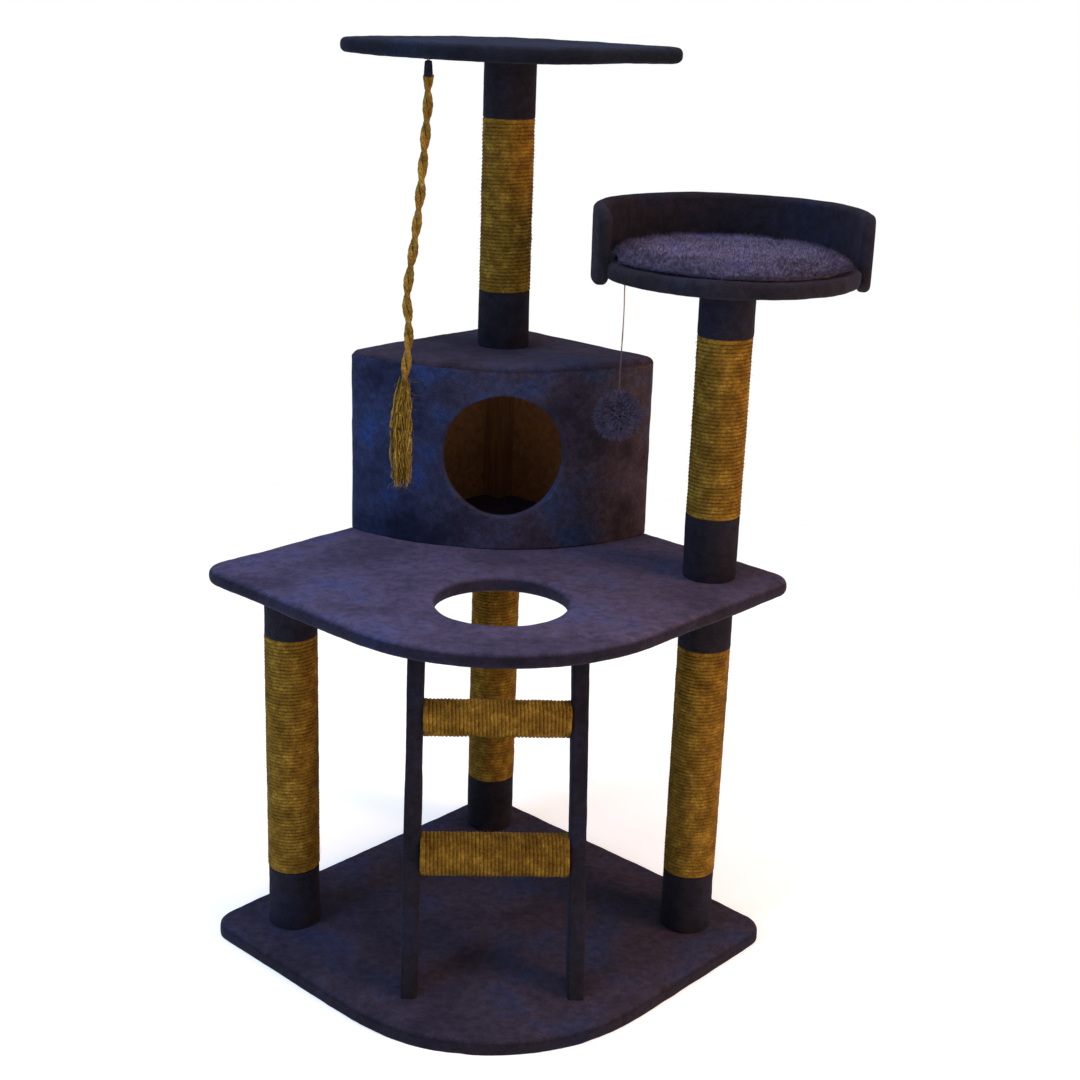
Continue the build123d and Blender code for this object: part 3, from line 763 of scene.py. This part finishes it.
TASSEL = sisal_material("tassel", (0.17, 0.098, 0.014), (0.31, 0.190, 0.030), (0.50, 0.34, 0.070))
FUR = pile_material("pompom")
STRING = string_material("elastic")
CAD_MATERIALS = {
    "board": wood_material("board", (0.33, 0.145, 0.052), (0.48, 0.230, 0.090), (1, 1, 1), 90, 300),
    # The pine is darker than bare pine: painted shade for the dim inside of the condo.
    "pine": wood_material("pine", (0.24, 0.108, 0.040), (0.34, 0.165, 0.065), (8, 8, 0.6), 22, 500),
    "post_tube": tube_material("post_tube"),
    "zinc_steel": zinc_material("zinc_steel"),
}


def settle(made, body, slot, *nodes):
    """Says what a piece moves with, and hides the CAD nodes it stands for. The slot is not used."""
    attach(made, body)
    if nodes:
        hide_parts(*nodes)
    return made


# ---------------------------------------------------------------- rope toy
def smooth_route(name, route):
    """Evenly spaced points along the NURBS line that has the route as its control points."""
    curve = bpy.data.curves.new(name, "CURVE")
    curve.dimensions = "3D"
    curve.resolution_u = 24
    spline = curve.splines.new("NURBS")
    spline.points.add(len(route) - 1)
    for point, place in zip(spline.points, route):
        point.co = (*place, 1)
    spline.order_u = 3
    spline.use_endpoint_u = True
    holder = bpy.data.objects.new(name, curve)
    bpy.context.scene.collection.objects.link(holder)
    bpy.context.view_layer.update()
    mesh = bpy.data.meshes.new_from_object(holder)
    line = np.array([vertex.co for vertex in mesh.vertices])
    bpy.data.meshes.remove(mesh)
    bpy.data.objects.remove(holder)
    bpy.data.curves.remove(curve)
    return line


def evenly(line, count):
    """A line with evenly spaced points, and its length."""
    lengths = distances(line)
    places = np.linspace(0, lengths[-1], count)
    even = np.stack([np.interp(places, lengths, line[:, axis]) for axis in range(3)], axis=1)
    return even, lengths[-1]


def strand_round(line, length, pitch, offset, phase):
    """A line that winds about another one."""
    turn = np.linspace(0, 2 * math.pi * length / pitch, len(line)) + phase
    offset = np.broadcast_to(offset, len(line))
    made = line.copy()
    made[:, 0] += offset * np.cos(turn)
    made[:, 1] += offset * np.sin(turn)
    return made


def make_rope():
    """Two strands of four yarns each, with stray hairs."""
    line, length = evenly(smooth_route("rope_line", ROPE_ROUTE), 420)
    random = np.random.default_rng(5)
    share = np.linspace(0, 1, len(line))
    parts = []
    for strand in range(2):
        lumps = soft_noise(np.column_stack([share * length, share * 0, share * 0 + strand]), 0.03, 8)
        offset = STRAND_R * (0.92 + 0.10 * lumps)
        centre = strand_round(line, length, ROPE_PITCH, offset, strand * math.pi)
        for yarn in range(4):
            inner = strand_round(centre, length, 0.045, STRAND_R * 0.48, yarn * math.pi / 2 + strand)
            parts.append(tube(inner, STRAND_R * 0.56 * (1 + 0.12 * lumps), 7))
    hairs = 260
    picked = random.integers(4, len(line) - 4, hairs)
    roots = line[picked] + any_way(random, hairs) * STRAND_R
    ways = unit(any_way(random, hairs) * 0.8 + np.array((0, 0, -0.9)))
    lengths = random.uniform(0.0025, 0.0055, hairs)
    parts.append(fibres(roots, ways, lengths, any_way(random, hairs) * 0.3, 0.00016))
    points, faces, uv = join(parts)
    return new_mesh("hanging_rope", points, faces, ROPE, uv), line, length


def make_tassel():
    """Two frayed legs: the rope's own strands, untwisted, crimped and cut off unevenly."""
    random = np.random.default_rng(12)
    head = np.array(TASSEL_HEAD)
    foot = np.array(TASSEL_FOOT)
    steps = np.linspace(0, 1, 30)
    parts = []
    for leg in (-1, 1):
        for _ in range(44):
            spread = random.normal(size=2)
            spread *= min(1, 1 / np.linalg.norm(spread)) * random.uniform(0.3, 1)
            stop = random.uniform(0.90, 1.0) if random.random() < 0.8 else random.uniform(0.45, 0.9)
            start = random.uniform(0, 0.11)
            share = start + steps * (stop - start)
            gather = np.clip(share / 0.35, 0, 1) ** 0.7
            centre = head + share[:, None] * (foot - head)
            swell = 0.0062 + 0.0030 * np.clip(share / 0.6, 0, 1)
            centre[:, 0] += leg * (0.0010 + 0.0050 * gather) + spread[0] * swell
            centre[:, 0] -= 0.004 * np.sin(math.pi * share) * (1 if leg < 0 else 0.3)
            centre[:, 1] += spread[1] * swell
            crimp = random.uniform(12, 20)
            phase = random.uniform(0, 2 * math.pi, 2)
            wave = 0.0011 * np.clip(share * 4, 0, 1)
            centre[:, 0] += wave * np.sin(crimp * 2 * share + phase[0])
            centre[:, 1] += wave * np.cos(crimp * 2 * share + phase[1])
            radius = random.uniform(0.0007, 0.0013) * (1 - 0.35 * steps**3)
            radius *= np.minimum(1, 0.35 + 5 * steps)
            parts.append(tube(centre, radius, 5))
    count = 320
    share = random.uniform(0.02, 1.0, count)
    roots = head + share[:, None] * (foot - head)
    roots[:, 0] += random.choice([-1, 1], count) * 0.006 + random.normal(0, 0.004, count)
    roots[:, 1] += random.normal(0, 0.006, count)
    ways = unit(any_way(random, count) * 0.9 + np.array((0, 0, -0.9)))
    lengths = random.uniform(0.005, 0.014, count)
    parts.append(fibres(roots, ways, lengths, any_way(random, count) * 0.4, 0.00018))
    points, faces, uv = join(parts)
    return new_mesh("frayed_tassel", points, faces, TASSEL, uv)


def make_sleeve():
    """Dark plush tape folded round the rope's head, pinched flat at the staple."""
    low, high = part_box("rope_sleeve")
    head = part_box("top_cover")[0].z - SLEEVE_DROP
    middle = (low + high) / 2
    rows = np.linspace(0, 1, 22)
    turn = np.linspace(0, 2 * math.pi, 40, endpoint=False)
    points = []
    for row in rows:
        height = head + (low.z - 0.002 - head) * row
        wide = 0.0044 + 0.0016 * min(1, row * 2.5) - 0.0004 * math.sin(math.pi * row)
        deep = 0.0012 + 0.0050 * min(1, row * 1.3) ** 0.9
        shrink = 0.4 if row == 0 else 0.75 if row == 1 else 1
        ring = [
            (middle.x + shrink * wide * math.cos(a), middle.y + shrink * deep * math.sin(a), height)
            for a in turn
        ]
        points.append(ring)
    sleeve = new_mesh("rope_head_sleeve", np.array(points), capped_faces(len(rows), len(turn)), DARK)
    return ruffle(sleeve, (0.006, 0.0004, 3), (0.0022, 0.00025, 4))


def make_tape(x, y):
    """The sleeve's other end, held flat to the perch by the staple."""
    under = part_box("top_cover")[0].z
    profile = solid_profile(under - 0.0008, under + 0.0020, 0.0006, 3, 1)
    arcs = rounded_box_arcs(0.012, 0.007, 0.003, x, y)
    return slab("rope_head_tape", arcs, (x, y, 0), profile, DARK, 0.001)


def make_loop(name, node, material):
    """A short loop of thread round the staple's wire."""
    low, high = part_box(node)
    middle = (low + high) / 2
    turn = np.linspace(0, 2 * math.pi, 33)
    half = (high.z - low.z) / 2 + 0.0012
    centre = np.column_stack(
        [middle.x + 0.0019 * np.cos(turn), middle.y + 0 * turn, middle.z + half * np.sin(turn)]
    )
    points, faces, uv = tube(centre, LOOP_THREAD_R, up=(0, 1, 0))
    return new_mesh(name, points, faces, material, uv)


def add_rope_toy():
    rope, line, length = make_rope()
    tassel = settle(make_tassel(), "rope", "rope", "rope_tassel")
    sleeve = make_sleeve()
    x, y = ROPE_ROUTE[0][:2]
    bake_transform(sleeve)
    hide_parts("rope_sleeve")
    settle(make_tape(x, y), "frame", "dark_plush")
    settle(make_loop("rope_loop", "rope_tab", DARK), "rope_tab", "elastic", "rope_tab")
    settle(rope, "rope", "rope", "rope")


# ---------------------------------------------------------------- pompom toy
def make_pompom():
    """A ball of soft pile: thousands of tapered tufts on a small core."""
    low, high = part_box("pompom_ball")
    centre = np.array((low + high) / 2)
    random = np.random.default_rng(21)
    count = 7000
    ways = any_way(random, count)
    clumps = soft_noise(ways, 0.32, 6)
    roots = centre + ways * BALL_R * 0.5
    lean = any_way(random, count) * 0.30 + any_way(random, count)[:, ::-1] * 0.12
    lean[:, 2] -= 0.10
    lengths = BALL_R * (0.44 + 0.04 * clumps + random.uniform(-0.05, 0.05, count))
    hair = fibres(roots, ways, lengths, lean, 0.0009, 4)
    turn = np.linspace(0, 2 * math.pi, 48, endpoint=False)
    rise = np.linspace(-math.pi / 2 + 0.05, math.pi / 2 - 0.05, 24)
    core = [
        [(math.cos(b) * math.cos(a), math.cos(b) * math.sin(a), math.sin(b)) for a in turn] for b in rise
    ]
    core = centre + BALL_R * 0.72 * np.array(core).reshape(-1, 3)
    core = (core, capped_faces(len(rise), len(turn)), np.zeros((len(core), 2)))
    points, faces, uv = join([hair, core])
    return new_mesh("pompom_pile", points, faces, FUR, uv)


def add_pompom_toy():
    low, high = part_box("pompom_string")
    foot = low.z - STRING_IN_BALL
    heights = np.linspace(high.z, foot, 120)
    x, y = STRING_TOP
    sway = 0.0007 * np.sin((high.z - heights) * 34) * np.clip((high.z - heights) * 30, 0, 1)
    line = np.column_stack([x + sway, y + 0 * heights, heights])
    radius = STRING_R * (1 + 0.14 * soft_noise(line * (0, 0, 1), 0.012, 2))
    points, faces, uv = tube(line, radius, 10, up=(0, 1, 0))
    string = new_mesh("elastic_string", points, faces, STRING, uv)
    pompom = settle(make_pompom(), "pompom_ball", "pompom", "pompom_ball")
    settle(make_loop("string_knot", "string_loop", STRING), "string_loop", "elastic", "string_loop")
    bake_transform(string)
    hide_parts("pompom_string")


# ---------------------------------------------------------------- platforms
def nap(made, seed, depth=1.0):
    """Soft unevenness of padded cloth, then clumps of pile."""
    return ruffle(
        made,
        (0.085, 0.0011 * depth, seed),
        (0.024, 0.0005 * depth, seed + 1),
        (0.007, 0.00022 * depth, seed + 2),
    )


def add_platforms():
    main = platform_arcs(SIDE, FRONT_R, CORNER_R, 0)
    top = platform_arcs(TOP_SIDE, TOP_FRONT_R, TOP_CORNER_R, BACK_Y - TOP_SIDE / math.sqrt(2))
    low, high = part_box("base_cover")
    profile = shell_profile(low.z, high.z, EASE, 110, HEM)
    base = slab("base_skin", main, (*BACK_POST, POST_HOLE_R), profile, BASE_PAINTED_SHADE)
    settle(nap(base, 31), "frame", "plush", "base_cover")
    low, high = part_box("mid_cover")
    profile = solid_profile(low.z, high.z, EASE, 70, cored=True)
    middle = slab("middle_skin", main, (*HATCH_AT, HATCH_R), profile, MIDDLE)
    settle(nap(middle, 41), "frame", "plush", "mid_cover")
    low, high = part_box("top_cover")
    profile = solid_profile(low.z, high.z, EASE, 60)
    perch = slab("perch_skin", top, (*TOP_MIDDLE, 0), profile, PERCH_PAINTED_SHADE)
    settle(nap(perch, 51), "frame", "plush", "top_cover")


# ---------------------------------------------------------------- condo
def condo_line():
    """The condo's outline as distances from the middle of its front, with points and normals."""
    points, normals = outline(condo_arcs(), 0.002)
    points = np.vstack([points, points[:1]])
    normals = np.vstack([normals, normals[:1]])
    return distances(points), points, normals


def condo_place(points):
    """Takes (distance along the outline, height, distance out from the wall) to its place."""
    lengths, edge, normals = condo_line()
    along = points[:, 0] % lengths[-1]
    x, y = (np.interp(along, lengths, edge[:, axis]) for axis in range(2))
    out_x, out_y = (np.interp(along, lengths, normals[:, axis]) for axis in range(2))
    out = points[:, 2] - SKIN
    return np.column_stack([x + out * out_x, y + out * out_y, points[:, 1]])


def condo_seam():
    """Distance along the outline from the middle of the front to the side seam."""
    lengths, edge, _ = condo_line()
    from_corner = np.linalg.norm(edge - (0, BACK_Y), axis=1)
    return lengths[np.argmax((from_corner < CONDO_SEAM_R) & (lengths > 0.1))], lengths[-1]


def door_core(edge):
    """The doorway, unrolled from the curved front so that it is round when seen from the front."""
    x, z = DOOR_AT
    bearing = np.arctan2(edge[:, 1] - z, edge[:, 0] - x)
    across = x + DOOR_R * np.cos(bearing)
    core = np.column_stack([CONDO_R * np.arcsin(across / CONDO_R), z + DOOR_R * np.sin(bearing)])
    return core, np.column_stack([np.cos(bearing), np.sin(bearing)])


def add_condo():
    low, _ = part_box("condo_front_cover")
    _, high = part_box("condo_roof_cover")
    seam, around = condo_seam()
    top = high.z - ROOF_SEAM_DROP
    middle_z = (low.z + top) / 2
    tall = top - low.z
    front = sheet_steps(SKIN, 0.0025, SKIN, 44, True)[:-1] + rounding(0.0025, SKIN, 1, 1)
    front += [(1, 0.0004, 0, 0.0)] + sheet_steps(0.0, 0.0004, 0.0032, 3, False)[1:]
    front += [(0, 0, 0.0030, -DOOR_LIP), (0, 0, 0.0005, -DOOR_LIP)]
    front += [(0, 0, 0, -DOOR_LIP + 0.001), (0, 0, 0, -DOOR_LIP / 2)]
    front += rounding(SKIN, SKIN, 1, 0)[::-1][:-1]
    edge, normals = outline(rounded_box_arcs(2 * seam, tall, 0.004, 0, middle_z), 0.0035)
    core, core_out = door_core(edge)
    loops = loops_between(edge, normals, core, core_out, front)
    faces = grid_faces(*loops.shape[:2], True)
    skin = new_mesh("condo_front_skin", condo_place(loops.reshape(-1, 3)), faces, CONDO)
    settle(nap(skin, 61, 0.8), "frame", "condo_plush", "condo_front_cover")

    wide = around - 2 * seam
    arcs = rounded_box_arcs(wide, tall, 0.004, around / 2, middle_z)
    half = wide / 2 - tall / 2
    spine = line_core(around / 2 - half, around / 2 + half, middle_z)
    profile = solid_profile(0.0, SKIN, 0.0014, 30, 1)
    back = slab("condo_back_skin", arcs, spine, profile, CONDO, 0.004, condo_place)
    settle(nap(back, 71, 0.5), "frame", "condo_plush", "condo_back_cover")

    edge = rounding(ROOF_EASE, high.z, 1, 1, 9)
    profile = sheet_steps(high.z, ROOF_EASE, 0, 60, True)[:-1]
    profile += [step for step in edge if step[3] > top - 0.001]
    tuck = top - 0.006
    profile += [(1, 0.0022, 0, top - 0.0015), (1, 0.0024, 0, tuck), (1, SKIN, 0, tuck)]
    profile += lining(high.z, ROOF_EASE)
    roof = slab("condo_roof_skin", condo_arcs(), (*TOP_POST, POST_HOLE_R), profile, ROOF)
    settle(nap(roof, 81), "frame", "plush", "condo_roof_cover")


# ---------------------------------------------------------------- posts
def winding(centre, low, high, radius, seed):
    """Sisal wound round a post in close turns, a little uneven, with loose hairs."""
    thick = SISAL_D
    turns = round((high - low) / thick)
    count = turns * 60 + 1
    turn = np.linspace(0, 2 * math.pi * turns, count)
    heights = np.linspace(low - thick / 2, high + thick / 2, count)
    heights = np.clip(heights, low + thick / 2, high - thick / 2)
    strip = np.column_stack([np.cos(turn) * 0.03, np.sin(turn) * 0.03, heights])
    heights = heights + 0.0005 * soft_noise(strip, 0.02, seed)
    out = radius - thick * 0.36 + 0.0005 * soft_noise(strip, 0.012, seed + 1)
    line = np.column_stack([centre[0] + out * np.cos(turn), centre[1] + out * np.sin(turn), heights])
    swell = thick * 0.5 * (1.06 + 0.07 * soft_noise(strip, 0.009, seed + 2))
    wound = tube(line, swell, squeeze=0.78)
    random = np.random.default_rng(seed)
    hairs = turns * HAIRS_PER_TURN
    bearing = random.uniform(0, 2 * math.pi, hairs)
    out = np.column_stack([np.cos(bearing), np.sin(bearing), 0 * bearing])
    roots = np.array((*centre, 0)) + out * (radius - 0.0012)
    roots[:, 2] = random.uniform(low + thick, high - thick, hairs)
    way = np.column_stack([-np.sin(bearing), np.cos(bearing), random.normal(0, 0.35, hairs)])
    way = way * random.choice([-1, 1], hairs)[:, None] + out * random.uniform(0.15, 0.5, hairs)[:, None]
    lengths = random.uniform(0.005, 0.015, hairs)
    bend = -out * random.uniform(0.1, 0.6, hairs)[:, None] + any_way(random, hairs) * 0.2
    return join([wound, fibres(roots, unit(way), lengths, bend, 0.00026)])


def add_posts():
    for index, name in enumerate(("left", "right", "back", "top", "bed")):
        for end in ("lower", "upper"):
            node = f"{name}_post_{end}_cuff"
            low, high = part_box(node)
            x, y = (low.x + high.x) / 2, (low.y + high.y) / 2
            tall = high.z - low.z
            profile = solid_profile(low.z, high.z, 0.0019, 2, round(tall / 0.003), True)
            cuff = slab(f"{node}_skin", circle_arcs(x, y, POST_R), (x, y, TUBE_R), profile, DARK, 0.003)
            settle(nap(cuff, 100 + index, 0.7), "frame", "dark_plush", node)
        node = f"{name}_post_sisal"
        low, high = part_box(node)
        points, faces, uv = winding((x, y), low.z, high.z, POST_R, 200 + index * 5)
        wound = new_mesh(f"{name}_post_winding", points, faces, SISAL, uv)
        settle(wound, "frame", "sisal", node)


# ---------------------------------------------------------------- ladder
def add_ladder():
    low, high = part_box("ladder_left_cover")
    lean = (LADDER_HEAD_Y - LADDER_FOOT_Y) / (high.z - low.z)
    arcs = rounded_box_arcs(RAIL_WIDTH, RAIL_DEPTH, RAIL_CORNER_R)
    profile = solid_profile(low.z, high.z, 0.0006, 3, 150)
    for name, side in (("left", -1), ("right", 1)):

        def stand(points, side=side):
            rise = points[:, 2] - low.z
            y = points[:, 1] + LADDER_FOOT_Y + lean * rise
            return np.column_stack([points[:, 0] + side * LADDER_X, y, points[:, 2]])

        rail = slab(f"ladder_{name}_sleeve", arcs, (0, 0, 0), profile, DARK, 0.0025, stand)
        settle(nap(rail, 300 + side, 0.75), "frame", "dark_plush", f"ladder_{name}_cover")
    for name, share in RUNGS.items():
        node = f"{name}_rung_sisal"
        low_end, high_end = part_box(node)
        middle = (low_end + high_end) / 2
        radius = (high_end.z - low_end.z) / 2
        half = (high_end.x - low_end.x) / 2
        points, faces, uv = winding((0, 0), -half, half, radius, 340 + round(share * 9))
        turned = points[:, [2, 0, 1]] + np.array(middle)
        wound = new_mesh(f"{name}_rung_winding", turned, faces, SISAL, uv)
        settle(wound, "frame", "sisal", node)


# ---------------------------------------------------------------- bed
def add_bed():
    board_low, board_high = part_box("bed_board")
    x, y = SIDE_POST
    middle_r = BED_R + RIM_T / 2
    half = RIM_SWEEP / 2 + SKIN / BED_R
    rim_low, rim_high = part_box("bed_rim")
    wall_low, wall_high = rim_low.z - SKIN, rim_high.z + SKIN
    tall = wall_high - wall_low
    middle_z = (wall_low + wall_high) / 2
    arcs = rounded_box_arcs(2 * half * middle_r, tall, RIM_EASE, 0, middle_z)
    reach = half * middle_r - tall / 2

    def bend(points):
        bearing = points[:, 0] / middle_r
        out = points[:, 2]
        return np.column_stack([x + out * np.sin(bearing), y + out * np.cos(bearing), points[:, 1]])

    profile = solid_profile(BED_R - SKIN, BED_R + RIM_T + SKIN, BED_EASE, 16, 1)
    wall = slab("bed_wall_skin", arcs, line_core(-reach, reach, middle_z), profile, DARK, 0.004, bend)
    settle(nap(wall, 400, 0.6), "frame", "dark_plush", "bed_cover")
    profile = solid_profile(board_low.z - SKIN, board_high.z + SKIN, BED_EASE, 24, 3)
    floor = slab("bed_board_skin", circle_arcs(x, y, BED_R + SKIN), (x, y, 0), profile, DARK, 0.004)
    settle(nap(floor, 410), "frame", "dark_plush")
    add_bed_pad(board_high.z + SKIN)


def add_bed_pad(foot):
    """A round pad, blown up by a cloth simulation and then fluffed."""
    low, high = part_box("bed_pad")
    x, y = SIDE_POST
    thick = high.z - low.z
    profile = solid_profile(foot + 0.001, foot + thick * 0.8, 0.004, 26, 1)
    pad = slab("bed_pad_plush", circle_arcs(x, y, PAD_START_R), (x, y, 0), profile, PAD, 0.006)
    inflate(pad, 0.005, 4.0, 0.007)
    places = read_vertices(pad)
    away = places[:, :2] - (x, y)
    reach = np.linalg.norm(away, axis=1)
    bearing = np.arctan2(away[:, 0], away[:, 1])
    held = np.clip((RIM_SWEEP / 2 - np.abs(bearing)) / PAD_HOLD_END + 1, 0, 1)
    grown = 1 + PAD_SPREAD * (1 - held)
    most = PAD_HELD_R + PAD_BULGE * (1 - held)
    limit = np.minimum(1, most / np.maximum(reach * grown, 1e-6))
    places[:, :2] = (x, y) + away * (grown * limit)[:, None]
    places[:, 2] = np.maximum(places[:, 2], foot)
    move_vertices(pad, places)
    smooth = pad.modifiers.new("smooth", "SUBSURF")
    smooth.levels = smooth.render_levels = 1
    apply_modifiers(pad)
    ruffle(pad, (0.05, 0.0012, 420), (0.014, 0.0010, 421), (0.005, 0.0006, 422))
    settle(pad, "frame", "pad_plush", "bed_pad")
    settle(pad_pile(pad, (x, y)), "frame", "pad_plush")


def pad_pile(pad, centre):
    """Long pile on the pad, thickest round its edge."""
    places, normals = read_vertices(pad), read_vertices(pad, "normal")
    reach = np.linalg.norm(places[:, :2] - centre, axis=1)
    weight = np.where(normals[:, 2] > -0.2, 0.25 + np.clip((reach - 0.11) / 0.05, 0, 1), 0)
    random = np.random.default_rng(430)
    hairs = 14000
    picked = random.choice(len(places), hairs, p=weight / weight.sum())
    ways = unit(normals[picked] + any_way(random, hairs) * 0.7)
    lengths = random.uniform(0.0025, 0.0055, hairs)
    points, faces, uv = fibres(places[picked], ways, lengths, any_way(random, hairs) * 0.5, 0.0004, 2)
    return new_mesh("bed_pad_pile", points, faces, PAD, uv)


def apply_modifiers(made):
    """Swaps the mesh for what its modifiers make of it."""
    graph = bpy.context.evaluated_depsgraph_get()
    graph.update()
    mesh = bpy.data.meshes.new_from_object(made.evaluated_get(graph))
    made.modifiers.clear()
    made.data = mesh
    mesh.polygons.foreach_set("use_smooth", np.ones(len(mesh.polygons), bool))


def inflate(made, voxel, pressure, cap):
    """Blows a closed cloth up from inside for 20 frames, and moves no point by more than cap."""
    remesh = made.modifiers.new("remesh", "REMESH")
    remesh.mode = "VOXEL"
    remesh.voxel_size = voxel
    apply_modifiers(made)
    before = read_vertices(made)
    cloth = made.modifiers.new("cloth", "CLOTH")
    cloth.settings.use_pressure = True
    cloth.settings.uniform_pressure_force = pressure
    cloth.settings.effector_weights.gravity = 0
    cloth.point_cache.frame_start = 1
    cloth.point_cache.frame_end = 20
    scene = bpy.context.scene
    for step in range(1, 21):
        scene.frame_set(step)
    apply_modifiers(made)
    scene.frame_set(1)
    move = read_vertices(made) - before
    far = np.linalg.norm(move, axis=1, keepdims=True)
    move *= np.minimum(1, cap / np.maximum(far, 1e-9))
    move_vertices(made, before + move)


# ---------------------------------------------------------------- CAD pieces that stay
def finish_cad_pieces():
    slots = {part["node"]: part["material_slot"] for part in frame["record"]["subparts"]}
    for name, node in frame["nodes"].items():
        material = CAD_MATERIALS.get(slots[name])
        if material:
            node.data.materials.clear()
            node.data.materials.append(material)


add_camera()
add_rope_toy()
add_pompom_toy()
add_studio()
add_platforms()
add_condo()
add_posts()
add_ladder()
add_bed()
finish_cad_pieces()
